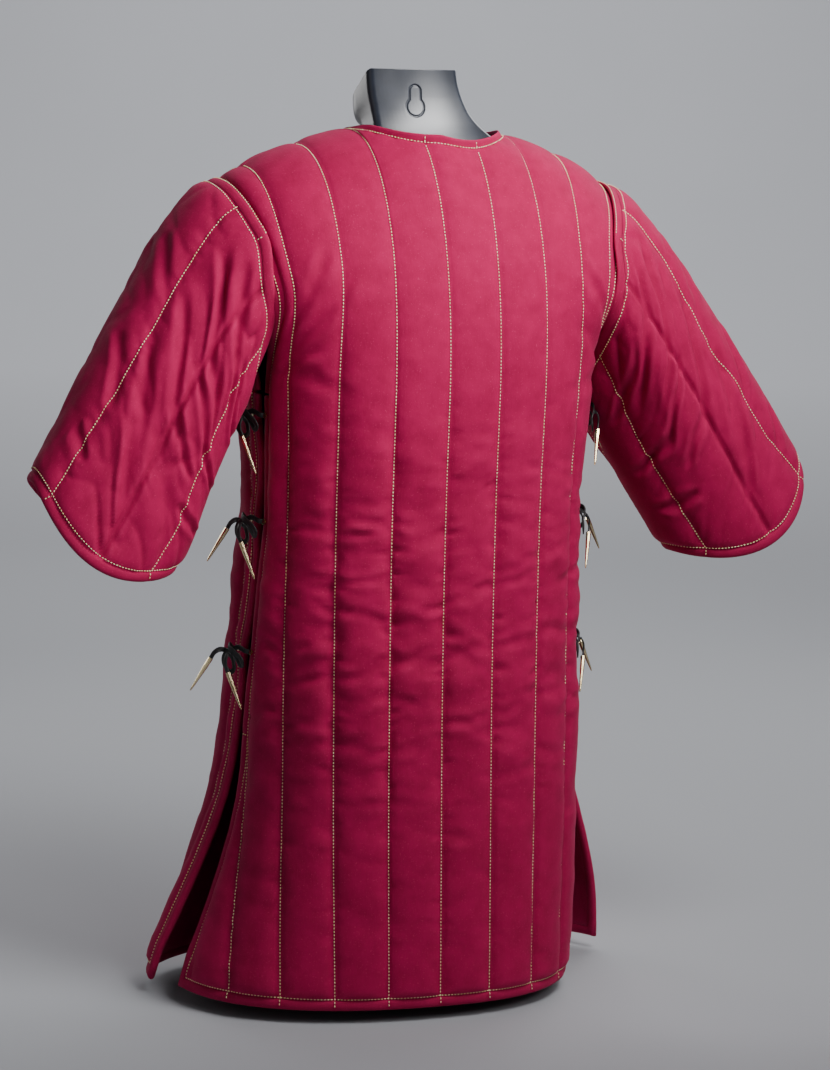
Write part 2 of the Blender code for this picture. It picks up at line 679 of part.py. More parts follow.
def tube_wall(inner, outer):
    """Faces of a wall round a tube, with a rim at each end."""
    rows, around = inner.shape[:2]
    count = rows * around
    points = np.concatenate([inner.reshape(-1, 3), outer.reshape(-1, 3)])
    faces = []
    for i in range(rows - 1):
        for j in range(around):
            k = (j + 1) % around
            quad = [i * around + j, i * around + k, (i + 1) * around + k, (i + 1) * around + j]
            faces.append([v + count for v in quad])
            faces.append(list(reversed(quad)))
    for j in range(around):
        k = (j + 1) % around
        low = (rows - 1) * around
        faces.append([j, k, k + count, j + count])
        faces.append([low + k, low + j, low + j + count, low + k + count])
    return points, faces


class Sleeve:
    """One sleeve: its wall and the rolled edges of its head and cuff."""

    def __init__(self, back, front, left):
        grid = sleeve_grid(back, front, left)
        self.name = "left" if left else "right"
        self.inner = shortened_ends(grid, BINDING_WIDTH)
        self.normals = ring_normals(self.inner, 1.0)
        wall = np.repeat(sleeve_wall()[None, :], SLEEVE_ROWS, axis=0)
        wall[0] = HEAD_WALL
        wall[-1] = WALL_AT_EDGE
        self.outer = self.inner + self.normals * wall[..., None]

    def build(self, cloth, edge_cloth):
        points, faces = tube_wall(self.inner, self.outer)
        add_solid(self.name + "_sleeve", points, faces, cloth)
        head_section = binding_section(HEAD_BINDING_THICKNESS, HEAD_WALL, HEAD_ROLL_GAP)
        cuff_section = binding_section(BINDING_THICKNESS, WALL_AT_EDGE)
        for row, inner_row, part, section in ((0, 1, "head", head_section), (-1, -2, "cuff", cuff_section)):
            run = ring_run(self.inner[row], self.inner[inner_row], self.normals[row])
            name = self.name + "_sleeve_" + part + "_binding"
            add_roll(name, run, section, edge_cloth, closed=True)


def shortened_ends(grid, amount):
    """Draw the first and last rings in along the cloth, to leave room for the rolled edges."""
    result = grid.copy()
    for end, neighbour in ((0, 1), (-1, -2)):
        run = grid[neighbour] - grid[end]
        result[end] = grid[end] + unit(run) * amount
    return result


def ring_run(points, neighbours, normals):
    tangents = unit(np.roll(points, -1, axis=0) - np.roll(points, 1, axis=0))
    away = unit(np.cross(tangents, normals))
    turn = -np.sign(np.sum(away * (neighbours - points)))
    return points, away * turn, normals


def form_base_point(fraction, side, height):
    """Point on the form's ring; fraction runs from 0 in the middle to 1 at its side."""
    turn = abs(fraction) * math.pi / 2.0
    wide = table_value(FORM_SECTIONS, FORM_COLUMNS, "left" if fraction > 0 else "right", height)
    deep = table_value(FORM_SECTIONS, FORM_COLUMNS, "back" if side > 0 else "front", height)
    middle = table_value(FORM_SECTIONS, FORM_COLUMNS, "middle", height)
    power = 2.0 / table_value(FORM_SECTIONS, FORM_COLUMNS, "power", height)
    x = math.copysign(wide * math.sin(turn) ** power, fraction)
    return np.array([x, middle + (deep - middle) * math.cos(turn) ** power, height])


def form_point(fraction, side, rise):
    base = form_base_point(fraction, side, ARMPIT_Z)
    reach = FORM_SHOULDER_LEFT if fraction > 0 else FORM_SHOULDER_RIGHT
    top_x = reach * fraction
    turn = rise * math.pi / 2.0
    power = 2.0 / SHOULDER_POWER
    near_neck = 1.0 - float(smoothstep((abs(top_x - NECK_DRIFT) - 0.10) / 0.05))
    clearance = FORM_SHOULDER_CLEARANCE + (FORM_NECK_CLEARANCE - FORM_SHOULDER_CLEARANCE) * near_neck
    top_z = ridge_height(top_x) - clearance
    x = base[0] + (top_x - base[0]) * smoothstep(rise)
    y = RIDGE_Y + (base[1] - RIDGE_Y) * max(math.cos(turn), 0.0) ** power
    return np.array([x, y, ARMPIT_Z + (top_z - ARMPIT_Z) * math.sin(turn) ** power])


def form_rings():
    """Closed rings from the base up, then the points of the shoulder line."""
    fractions = np.linspace(1.0, -1.0, 2 * FORM_SIDE_STEPS + 1)
    around = [(f, 1.0) for f in fractions] + [(f, -1.0) for f in fractions[-2:0:-1]]
    rings = [[form_base_point(f, side, z) for f, side in around] for z in FORM_ROWS]
    rises = np.linspace(0.0, 1.0, YOKE_ROWS + 1)[:-1]
    rings += [[form_point(f, side, rise) for f, side in around] for rise in rises]
    ridge = [form_point(f, 1.0, 1.0) for f in fractions]
    return np.array(rings), np.array(ridge)


def add_torso(material):
    rings, ridge = form_rings()
    count, around = rings.shape[:2]
    points = np.concatenate([rings.reshape(-1, 3), ridge])
    faces = [list(reversed(range(around)))]
    for i in range(count - 1):
        for j in range(around):
            k = (j + 1) % around
            faces.append([i * around + j, i * around + k, (i + 1) * around + k, (i + 1) * around + j])
    first = count * around
    last = (count - 1) * around
    half = len(ridge) - 1
    for j in range(half):
        faces.append([last + j, last + j + 1, first + j + 1, first + j])
        front = last + (around - j) % around
        faces.append([front, first + j, first + j + 1, last + around - j - 1])
    return add_solid("dress_form", points, cleaned(faces), material)


def cleaned(faces):
    """Drop repeated corners, which turn a quad at an end into a triangle."""
    result = []
    for face in faces:
        kept = [v for i, v in enumerate(face) if v != face[i - 1]]
        if len(kept) >= 3:
            result.append(kept)
    return result


def stacked_rings(rings):
    rings = np.array(rings)
    count, around = rings.shape[:2]
    faces = [list(reversed(range(around))), [(count - 1) * around + j for j in range(around)]]
    for i in range(count - 1):
        for j in range(around):
            k = (j + 1) % around
            faces.append([i * around + j, i * around + k, (i + 1) * around + k, (i + 1) * around + j])
    return rings.reshape(-1, 3), faces


def add_neck_column(material):
    power = 2.0 / NECK_POWER
    turn = (np.arange(NECK_SIDES) + 0.5) * 2.0 * math.pi / NECK_SIDES
    rings = []
    for z, middle, half_width, back, front in NECK_SECTIONS:
        deep = np.where(np.cos(turn) > 0.0, back, -front)
        x = middle + half_width * np.sign(np.sin(turn)) * np.abs(np.sin(turn)) ** power
        y = deep * np.sign(np.cos(turn)) * np.abs(np.cos(turn)) ** power
        rings.append([(a, b, z) for a, b in zip(x, y)])
    points, faces = stacked_rings(rings)
    return add_solid("form_neck_tool", points, faces, material)


def add_keyhole_tool(material):
    """Keyhole outline: a round foot with a narrower round head above it."""
    join = math.radians(40.0)
    foot = np.linspace(math.pi - join, 2.0 * math.pi + join, 14)
    head = np.linspace(-0.15, math.pi + 0.15, 9)
    outline = [(KEYHOLE_RADIUS * math.cos(t), KEYHOLE_RADIUS * math.sin(t)) for t in foot]
    outline += [(KEYHOLE_SLOT_RADIUS * math.cos(t), KEYHOLE_RISE + KEYHOLE_SLOT_RADIUS * math.sin(t))
                for t in head]
    back = NECK_SECTIONS[-2][NECK_COLUMNS.index("back")] + 0.0015
    rings = [[(KEYHOLE_X + u, y, KEYHOLE_Z + v) for u, v in outline]
             for y in (back - KEYHOLE_DEPTH - 0.0015, back + 0.01)]
    points, faces = stacked_rings(rings)
    return add_solid("form_keyhole_tool", points, faces, material)


def add_boolean(item, tool, operation):
    modifier = item.modifiers.new(operation.lower(), "BOOLEAN")
    modifier.operation = operation
    modifier.solver = "EXACT"
    modifier.object = tool
    tool.hide_render = True
    tool.display_type = "WIRE"


def build_form(material):
    torso = add_torso(material)
    add_boolean(torso, add_neck_column(material), "UNION")
    add_boolean(torso, add_keyhole_tool(material), "DIFFERENCE")


class Tie:
    """One side tie, in a frame that runs outward, toward the back and up."""

    def __init__(self, back, front, left, row):
        height = row[0]
        self.name = "left" if left else "right"
        column = -1 if left else 0
        self.holes = [self.hole(panel, column, height) for panel in (front, back)]
        self.middle = (self.holes[0][0] + self.holes[1][0]) / 2.0
        mirror = 1.0 if left else -1.0
        self.out = np.array([mirror, 0.0, 0.0])
        self.shift = row[TIE_COLUMNS.index(self.name + "_out")]

    def hole(self, panel, column, height):
        """Where an eyelet sits on the rolled edge, with the cloth's normal there."""
        rows = np.arange(BODY_ROWS)
        points, aways, normals = panel.edge(rows, column)
        share = [np.interp(height, points[:, 2], part[:, i])
                 for part in (points, aways, normals) for i in range(3)]
        point, away, normal = np.array(share[:3]), unit(np.array(share[3:6])), unit(np.array(share[6:]))
        lift = WALL_AT_EDGE / 2.0 + BINDING_THICKNESS / 2.0
        reach = ROLL_GAP + (BINDING_WIDTH - ROLL_GAP) / 2.0
        return point + away * reach + normal * lift, normal

    def place(self, route, shift):
        """Turn a route's outward, back and up sizes into places; its outer part shifts outward."""
        back = np.array([0.0, 1.0, 0.0])
        up = np.array([0.0, 0.0, 1.0])
        points = []
        for out_size, back_size, up_size in route:
            eased = smoothstep((out_size - LACE_SHIFT_FROM) / LACE_SHIFT_OVER)
            out = out_size + shift * float(eased)
            points.append(self.middle + self.out * out + back * back_size + up * up_size)
        return np.array(points)


def smooth_line(points, step):
    """Even points on an open Catmull-Rom curve."""
    ends = np.concatenate([[2.0 * points[0] - points[1]], points, [2.0 * points[-1] - points[-2]]])
    fine = []
    for i in range(1, len(ends) - 2):
        p0, p1, p2, p3 = ends[i - 1:i + 3]
        for t in np.linspace(0.0, 1.0, 14, endpoint=False):
            fine.append(0.5 * (2.0 * p1 + (p2 - p0) * t + (2.0 * p0 - 5.0 * p1 + 4.0 * p2 - p3) * t * t
                               + (3.0 * p1 - p0 - 3.0 * p2 + p3) * t ** 3))
    fine = np.array(fine + [ends[-2]])
    length = np.concatenate([[0.0], np.cumsum(np.linalg.norm(np.diff(fine, axis=0), axis=1))])
    at = np.linspace(0.0, length[-1], int(round(length[-1] / step)) + 1)
    return np.stack([np.interp(at, length, fine[:, i]) for i in range(3)], axis=1)


def add_cord(name, points, radius, material):
    curve = bpy.data.curves.new(name, "CURVE")
    curve.dimensions = "3D"
    curve.bevel_depth = radius
    curve.bevel_resolution = 2
    curve.use_fill_caps = True
    spline = curve.splines.new("POLY")
    spline.points.add(len(points) - 1)
    for target, point in zip(spline.points, points):
        target.co = (point[0], point[1], point[2], 1.0)
    curve.materials.append(material)
    item = bpy.data.objects.new(name, curve)
    bpy.context.collection.objects.link(item)
    return item


def frame_about(axis):
    axis = unit(np.array(axis, dtype=float))
    helper = np.array([0.0, 0.0, 1.0]) if abs(axis[2]) < 0.9 else np.array([1.0, 0.0, 0.0])
    first = unit(np.cross(axis, helper))
    return first, np.cross(axis, first), axis


def add_aglet(name, start, direction, material):
    """Long tapered metal tip; the lace ends just inside its mouth."""
    first, second, axis = frame_about(direction)
    turn = np.arange(AGLET_SIDES) * 2.0 * math.pi / AGLET_SIDES
    stations = ((0.0, AGLET_TOP_RADIUS), (0.25, AGLET_TOP_RADIUS * 0.95), (0.92, AGLET_TIP_RADIUS),
                (1.0, AGLET_TIP_RADIUS * 0.55))
    rings = []
    for share, radius in stations:
        centre = start + axis * AGLET_LENGTH * share
        rings.append([centre + (first * math.cos(t) + second * math.sin(t)) * radius for t in turn])
    points, faces = stacked_rings(rings)
    add_solid(name, points, faces, material)


def add_eyelet(name, centre, normal, material):
    """Small metal ring set on the rolled edge."""
    first, second, axis = frame_about(normal)
    rings = []
    turn = np.arange(EYELET_SIDES) * 2.0 * math.pi / EYELET_SIDES
    section = ((-1.0, -1.0), (1.0, -1.0), (1.0, 1.0), (-1.0, 1.0))
    for t in turn:
        radial = first * math.cos(t) + second * math.sin(t)
        rings.append([centre + radial * (EYELET_RADIUS - EYELET_TUBE + a * EYELET_TUBE)
                      + axis * (SEAM_GAP + EYELET_TUBE * (1.0 + b)) for a, b in section])
    rings = np.array(rings)
    count, around = rings.shape[:2]
    faces = [[i * around + j, i * around + (j + 1) % around, (i + 1) % count * around + (j + 1) % around,
              (i + 1) % count * around + j] for i in range(count) for j in range(around)]
    add_solid(name, rings.reshape(-1, 3), faces, material)


def build_ties(back, front, leather, brass):
    for left in (True, False):
        for number, row in enumerate(TIES, start=1):
            tie = Tie(back, front, left, row)
            stem = f"{tie.name}_tie_{number}"
            parts = (("front", FRONT_LACE_ROUTE, tie.holes[0], tie.shift),
                     ("back", BACK_LACE_ROUTE, tie.holes[1], 0.0))
            for part, route, hole, shift in parts:
                first = [hole[0] + hole[1] * height for height in LACE_STARTS]
                run = smooth_line(np.concatenate([first, tie.place(route, shift)]), LACE_STEP)
                add_cord(f"{stem}_{part}_lace", run, LACE_RADIUS, leather)
                heading = unit(run[-1] - run[-2])
                start = run[-1] + heading * SEAM_GAP
                add_aglet(f"{stem}_{part}_aglet", start, heading, brass)
                add_eyelet(f"{stem}_{part}_eyelet", hole[0], hole[1], brass)


def build_body(cloth, edge_cloth):
    back = Panel(+1.0)
    front = Panel(-1.0)
    back.build("back_panel", cloth)
    front.build("front_panel", cloth)
    body_bindings(back, front, edge_cloth)
    return back, front


def main():
    clear_scene()
    cloth = make_material("crimson_cotton", CRIMSON, 0.80)
    edge_cloth = make_material("crimson_binding", CRIMSON_EDGE, 0.80)
    leather = make_material("black_leather", BLACK_LEATHER, 0.50)
    brass = make_material("brass", BRASS, 0.32, 1.0)
    plastic = make_material("grey_plastic", FORM_GREY, 0.30)
    back, front = build_body(cloth, edge_cloth)
    for left in (True, False):
        Sleeve(back, front, left).build(cloth, edge_cloth)
    build_form(plastic)
    build_ties(back, front, leather, brass)


main()
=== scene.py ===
"""Looks of the quilted gambeson on its limbless dress form. Metres, +Z up, the wearer faces -Y."""
import json
import math

import bpy
import numpy as np
from mathutils import Matrix

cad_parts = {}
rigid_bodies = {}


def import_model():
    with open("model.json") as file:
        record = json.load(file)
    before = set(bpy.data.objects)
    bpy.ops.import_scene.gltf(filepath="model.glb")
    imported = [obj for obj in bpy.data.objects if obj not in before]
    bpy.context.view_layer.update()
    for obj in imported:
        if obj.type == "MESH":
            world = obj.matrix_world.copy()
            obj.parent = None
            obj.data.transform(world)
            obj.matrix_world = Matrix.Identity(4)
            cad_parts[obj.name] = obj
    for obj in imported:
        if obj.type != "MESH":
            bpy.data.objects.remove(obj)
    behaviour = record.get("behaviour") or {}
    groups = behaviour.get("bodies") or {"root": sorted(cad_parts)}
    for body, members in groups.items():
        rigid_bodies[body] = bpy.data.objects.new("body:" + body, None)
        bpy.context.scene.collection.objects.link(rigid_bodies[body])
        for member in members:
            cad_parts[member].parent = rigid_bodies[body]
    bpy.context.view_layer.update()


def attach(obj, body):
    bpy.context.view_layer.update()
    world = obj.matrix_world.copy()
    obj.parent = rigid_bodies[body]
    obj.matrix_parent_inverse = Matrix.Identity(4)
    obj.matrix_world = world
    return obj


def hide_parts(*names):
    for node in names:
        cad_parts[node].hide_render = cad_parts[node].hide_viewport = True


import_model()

# Camera, matched to the photo
CAMERA_AZIMUTH = math.radians(22.0)
CAMERA_DISTANCE = 3.6
CAMERA_HEIGHT = 0.979
CAMERA_PITCH = math.radians(7.59)
CAMERA_ROLL = math.radians(1.2)
CAMERA_SIDE_SHIFT = 0.01526
SENSOR_HEIGHT = 24.0
LENS = 74.09

# Sizes shared with the solids
HEM_Z = 0.014
ARMPIT_Z = 0.660
QUILT_PITCH = 0.057
CENTRE_DRIFT = -0.014
QUILT_LINES = 10
SEAM_GAP = 0.0003
WALL_AT_LINE = (0.0052, 0.0078)
WALL_AT_MIDDLE = (0.0122, 0.0112)
WALL_AT_EDGE = 0.0065
CLOTH_AT_EDGE = 0.0052
CLOTH_AT_ARMHOLE = 0.0068
CLOTH_AT_NECK = 0.0078
EDGE_TAPER = 0.018
ARMHOLE_FLAT = 0.011
LAPPED_FROM_Z = 0.815
LINE_SHIFT = 0.0085
LINE_SHIFT_Z = 0.80
LINE_SHIFT_REACH = 0.075
FLAT_FROM = 0.56
FLAT_OVER = 0.20
BINDING_WIDTH = 0.0110
BINDING_THICKNESS = 0.0095
SECTION_COLUMNS = ("z", "left", "right", "middle", "back", "front", "power")
SECTIONS = (
    (0.014, 0.257, 0.182, 0.000, 0.172, -0.150, 2.3),
    (0.110, 0.219, 0.185, 0.000, 0.168, -0.143, 2.3),
    (0.220, 0.188, 0.186, 0.000, 0.163, -0.136, 2.4),
    (0.340, 0.184, 0.181, 0.005, 0.158, -0.128, 2.5),
    (0.460, 0.175, 0.177, 0.010, 0.156, -0.122, 2.5),
    (0.560, 0.169, 0.176, 0.015, 0.157, -0.120, 2.5),
    (0.660, 0.176, 0.186, 0.016, 0.160, -0.122, 2.5),
)
SECTION_BLEND = 0.035
SIDE_EDGE_COLUMNS = ("z", "back_left", "back_right", "front_left", "front_right")
SIDE_EDGES = (
    (0.014, 0.020, -0.010, -0.040, -0.045),
    (0.220, 0.026, 0.010, -0.008, -0.010),
    (0.340, 0.033, 0.030, 0.012, 0.010),
    (0.460, 0.041, 0.047, 0.024, 0.030),
    (0.660, 0.050, 0.052, 0.033, 0.034),
)
FRONT_SPREAD_LEFT = 0.022
FRONT_SPREAD_RIGHT = 0.090
SHOULDER_LEFT = 0.232
SHOULDER_RIGHT = 0.237
RIDGE_TOP_Z = 0.953
RIDGE_SLOPE = 0.175
RIDGE_CURVE = 0.60
RIDGE_LEFT_DROP = 0.004
SHOULDER_END_DROP = 0.010
RIDGE_Y = 0.0
SHOULDER_POWER = 2.3
NECK_SEAM_HALF_WIDTH = 0.0855
NECK_DRIFT = -0.014
NECK_SEAM_BACK = 0.084
NECK_SEAM_FRONT = 0.102
YOKE_FLAT_HALF_WIDTH = 0.23
YOKE_FALL_BACK = 0.25
YOKE_FALL_FRONT = 0.45
YOKE_FLAT_RISE_BACK = 0.35
YOKE_FLAT_RISE_FRONT = 0.60
ARMPIT_GAP = 0.003
ARMHOLE_INSET_HEIGHT = 0.28
BACK_GROWTH = 0.0030
FRONT_GROWTH = 0.0095
HEM_GROWTH = 1.3
TIE_COLUMNS = ("z", "left_out", "right_out")
TIES = (
    (0.640, -0.009, -0.004),
    (0.525, 0.000, 0.002),
    (0.383, 0.004, 0.000),
)

# Sleeves, also shared with the solids
HEAD_WALL = 0.0055
HEAD_BINDING_THICKNESS = 0.0060
HEAD_PLACES = (
    (0.125, 0.0135, 0.0040),
    (0.250, 0.0130, 0.0045),
    (0.375, 0.0030, 0.0070),
    (0.500, -0.010, 0.0078),
    (0.750, -0.010, 0.0078),
    (1.000, -0.010, 0.0078),
)
HEAD_FRONT_OUT = 0.020
HEAD_FIRST_ROW = 2
HEAD_TURN = 0.024
UNDERARM_DIRECTION = (0.30, 0.0, -0.95)
HEAD_DIRECTION = (0.70, 0.0, -0.71)
HEAD_TENSION = 0.55
CUFF_TENSION = 0.9
CUFF_CENTRE_LEFT = (0.3520, 0.028, 0.5230)
CUFF_CENTRE_RIGHT = (-0.3920, 0.028, 0.5260)
CUFF_OUTWARD = (0.838, 0.0, 0.545)
CUFF_DOWN = (0.545, 0.0, -0.838)
CUFF_HALF_WIDTH = 0.087
CUFF_HALF_DEPTH = 0.058
CUFF_BULGE_BACK = 0.043
CUFF_BULGE_FRONT = 0.012
UNDERARM_LEFT = (0.208, 0.030, 0.668)
UNDERARM_RIGHT = (-0.201, 0.010, 0.674)
UNDERARM_POINTS_LEFT = ((0.042, 0.012), (0.0, 0.0), (-0.058, 0.016))
UNDERARM_POINTS_RIGHT = ((0.030, 0.012), (0.0, 0.0), (-0.040, 0.012))

# Mesh density: the solids' own for the sleeve heads, and a fine one for what shows
COARSE = {"body_rows": 10, "yoke_rows": 8, "channel": 3, "outer": 3, "neck": (0.95, 1.0)}
BACK_DENSITY = {"body_rows": 186, "yoke_rows": 98, "channel": 15, "outer": 24,
                "neck": (0.90, 0.95, 0.98, 1.0)}
FRONT_DENSITY = {"body_rows": 104, "yoke_rows": 60, "channel": 13, "outer": 20,
                 "neck": (0.90, 0.95, 0.98, 1.0)}
SLEEVE_RING = 240
SLEEVE_ROWS = 116

# Stitching
STITCH_PITCH = 0.0036
STITCH_LENGTH = 0.0022
STITCH_RADIUS = 0.00058
STITCH_SIDES = 5
STITCH_RINGS = ((-0.5, 0.45, 0.30), (-0.22, 1.0, 0.0), (0.22, 1.0, 0.0), (0.5, 0.45, 0.30))
STITCH_RAISED = 0.0007


def smoothstep(value):
    clipped = np.clip(value, 0.0, 1.0)
    return clipped * clipped * (3.0 - 2.0 * clipped)


def unit(vectors):
    return vectors / np.maximum(np.linalg.norm(vectors, axis=-1, keepdims=True), 1e-12)


def table_value(table, columns, name, height):
    heights = [row[0] for row in table]
    values = [row[columns.index(name)] for row in table]
    around = (height - SECTION_BLEND, height, height + SECTION_BLEND)
    return float(np.mean(np.interp(around, heights, values)))


def section_curve(height, side, left):
    """Quarter section from the centre line to past the widest point, with its running length."""
    wide = table_value(SECTIONS, SECTION_COLUMNS, "left" if left else "right", height)
    deep = table_value(SECTIONS, SECTION_COLUMNS, "back" if side > 0 else "front", height)
    middle = table_value(SECTIONS, SECTION_COLUMNS, "middle", height)
    power = table_value(SECTIONS, SECTION_COLUMNS, "power", height)
    turn = np.linspace(0.0, math.radians(115.0), 231)
    cosine = np.cos(turn)
    x = wide * np.abs(np.sin(turn)) ** (2.0 / power)
    y = middle + (deep - middle) * np.sign(cosine) * np.abs(cosine) ** (2.0 / power)
    length = np.concatenate([[0.0], np.cumsum(np.hypot(np.diff(x), np.diff(y)))])
    return x, y, length


def body_row(side, steps, height):
    """Inner surface below the armpit, at cloth distances from the body's middle."""
    points = np.empty((len(steps), 3))
    for left in (True, False):
        mask = steps > 0.0 if left else steps <= 0.0
        x, y, length = section_curve(height, side, left)
        away = np.abs(steps[mask])
        points[mask, 0] = np.interp(away, length, x) * (1.0 if left else -1.0)
        points[mask, 1] = np.interp(away, length, y)
    points[:, 2] = height
    return points


def edge_lateral(side, left, height):
    """Cloth distance from the body's middle to the panel's finished side edge."""
    name = ("back" if side > 0 else "front") + ("_left" if left else "_right")
    edge_y = table_value(SIDE_EDGES, SIDE_EDGE_COLUMNS, name, height)
    _, y, length = section_curve(height, side, left)
    return float(np.interp(-side * edge_y, -side * y, length))


def ridge_height(x):
    drop = SHOULDER_END_DROP * smoothstep((np.abs(x) - 0.16) / 0.08)
    drop = drop + RIDGE_LEFT_DROP * smoothstep(x / 0.06)
    return RIDGE_TOP_Z - RIDGE_SLOPE * np.abs(x) - RIDGE_CURVE * x * x - drop


def yoke_depth(side, steps, base_y, rise):
    """Y of the cloth before it turns in to the shoulder: flat across the shoulder blades."""
    centre = table_value(SECTIONS, SECTION_COLUMNS, "back" if side > 0 else "front", ARMPIT_Z)
    fall = YOKE_FALL_BACK if side > 0 else YOKE_FALL_FRONT
    flat_rise = YOKE_FLAT_RISE_BACK if side > 0 else YOKE_FLAT_RISE_FRONT
    flat = centre * (1.0 - fall * (steps / YOKE_FLAT_HALF_WIDTH) ** 2)
    return base_y + (flat - base_y) * float(smoothstep(rise / flat_rise))


def yoke_row(side, steps, rise):
    """Inner surface above the armpit; rise runs from 0 at the armpit to 1 on the shoulder or neck."""
    base = body_row(side, steps, ARMPIT_Z)
    reach = NECK_SEAM_BACK if side > 0 else NECK_SEAM_FRONT
    from_centre = np.abs(steps - NECK_DRIFT) / NECK_SEAM_HALF_WIDTH
    neck_y = reach * np.sqrt(np.maximum(1.0 - from_centre ** 2, 0.0))
    full = np.abs(yoke_depth(side, steps, base[:, 1], 1.0) - RIDGE_Y)
    share = np.minimum(neck_y / full, 1.0)
    end = np.where(from_centre < 1.0, np.arccos(share ** (SHOULDER_POWER / 2.0)), math.pi / 2.0)
    turn = rise * end
    x = base[:, 0] + (steps - base[:, 0]) * smoothstep(rise)
    depth = yoke_depth(side, steps, base[:, 1], rise)
    y = RIDGE_Y + (depth - RIDGE_Y) * np.maximum(np.cos(turn), 0.0) ** (2.0 / SHOULDER_POWER)
    z = ARMPIT_Z + (ridge_height(steps) - ARMPIT_Z) * np.sin(turn) ** (2.0 / SHOULDER_POWER)
    return np.stack([x, y + side * SEAM_GAP, z], axis=1)


def panel_half_width(side, left, height, rise):
    """Cloth distance from the centre line to the panel's own edge, inside its rolled edge."""
    if rise <= 0.0:
        return edge_lateral(side, left, height) - BINDING_WIDTH
    start = edge_lateral(side, left, ARMPIT_Z) - BINDING_WIDTH
    end = (SHOULDER_LEFT if left else SHOULDER_RIGHT) - BINDING_WIDTH
    return start + (end - start) * float(smoothstep(rise / ARMHOLE_INSET_HEIGHT))


def edge_growth(side, height):
    """How much farther the left edges reach between the ties that pull them."""
    pull = max(math.exp(-((height - row[0]) / 0.030) ** 2) for row in TIES)
    fade = 1.0 - float(smoothstep((height - 0.60) / 0.04))
    low = 1.0 + HEM_GROWTH * float(smoothstep((0.30 - height) / 0.28))
    return (BACK_GROWTH if side > 0 else FRONT_GROWTH * low) * (1.0 - 0.8 * pull) * fade


def lateral_steps(half_left, half_right, density):
    inner = (QUILT_LINES // 2 - 1.5) * QUILT_PITCH
    count = int(round(2.0 * inner / QUILT_PITCH)) * density["channel"] + 1
    neck_steps = NECK_SEAM_HALF_WIDTH * np.array(density["neck"])
    neck_steps = np.concatenate([neck_steps, -neck_steps]) + NECK_DRIFT
    line_steps = np.linspace(-inner, inner, count) + CENTRE_DRIFT
    middle = np.unique(np.round(np.concatenate([line_steps, neck_steps]), 6))
    right = np.linspace(-half_right, middle[0], density["outer"] + 1)[:-1]
    left = np.linspace(middle[-1], half_left, density["outer"] + 1)[1:]
    return np.concatenate([right, middle, left])


def panel_grid(side, density):
    """Inner surface points and their cloth distances, rows from the hem to the shoulders."""
    rows = [("body", z) for z in np.linspace(HEM_Z + BINDING_WIDTH, ARMPIT_Z, density["body_rows"])]
    rows += [("yoke", r) for r in np.linspace(0.0, 1.0, density["yoke_rows"] + 1)[1:]]
    points = []
    laterals = []
    for kind, value in rows:
        height = value if kind == "body" else ARMPIT_Z
        rise = value if kind == "yoke" else 0.0
        halves = [panel_half_width(side, left, height, rise) for left in (True, False)]
        if density is not COARSE and kind == "body":
            halves[0] += edge_growth(side, height)
        steps = lateral_steps(halves[0], halves[1], density)
        points.append(body_row(side, steps, height) if kind == "body" else yoke_row(side, steps, rise))
        laterals.append(steps)
    grid = np.array(points)
    if side < 0:
        share = smoothstep((0.34 - grid[..., 2]) / 0.34)
        side_share = smoothstep((np.abs(grid[..., 0]) - 0.09) / 0.09)
        spread = np.where(grid[..., 0] > 0.0, FRONT_SPREAD_LEFT, -FRONT_SPREAD_RIGHT)
        grid[..., 0] += spread * share * side_share
    return grid, np.array(laterals)


def outward_normals(grid, side):
    along = np.gradient(grid, axis=1)
    up = np.gradient(grid, axis=0)
    normals = unit(np.cross(up, along) * -1.0)
    return normals * np.sign(normals[0, grid.shape[1] // 2, 1]) * side


def lattice(ix, iy, seed):
    """Repeatable number between -1 and 1 for each lattice corner."""
    value = np.sin(ix * 127.1 + iy * 311.7 + seed * 74.7) * 43758.5453
    return (value - np.floor(value)) * 2.0 - 1.0


def soft_noise(x, y, seed):
    """Smooth value noise between -1 and 1."""
    ix, iy = np.floor(x), np.floor(y)
    fx, fy = smoothstep(x - ix), smoothstep(y - iy)
    low = lattice(ix, iy, seed) * (1.0 - fx) + lattice(ix + 1.0, iy, seed) * fx
    high = lattice(ix, iy + 1.0, seed) * (1.0 - fx) + lattice(ix + 1.0, iy + 1.0, seed) * fx
    return low * (1.0 - fy) + high * fy


def crease(px, py, start, end, width, depth):
    """A soft trough of the given depth along a straight run between two places."""
    start, end = np.array(start), np.array(end)
    run = end - start
    length = np.hypot(*run)
    along = ((px - start[0]) * run[0] + (py - start[1]) * run[1]) / length ** 2
    away = ((px - start[0]) * run[1] - (py - start[1]) * run[0]) / length
    fade = smoothstep(along * 4.0 + 0.5) * smoothstep((1.0 - along) * 4.0 + 0.5)
    profile = np.exp(-(away / width) ** 2) - 0.6 * np.exp(-((np.abs(away) - 1.8 * width) / width) ** 2)
    return -depth * profile * fade


def channel_profile(distance, half):
    """Height share of a stuffed channel: steep at its stitched line, round in its middle."""
    share = np.clip(distance / half, 0.0, 1.0)
    return (1.0 - (1.0 - share) ** 2.6) ** 0.62


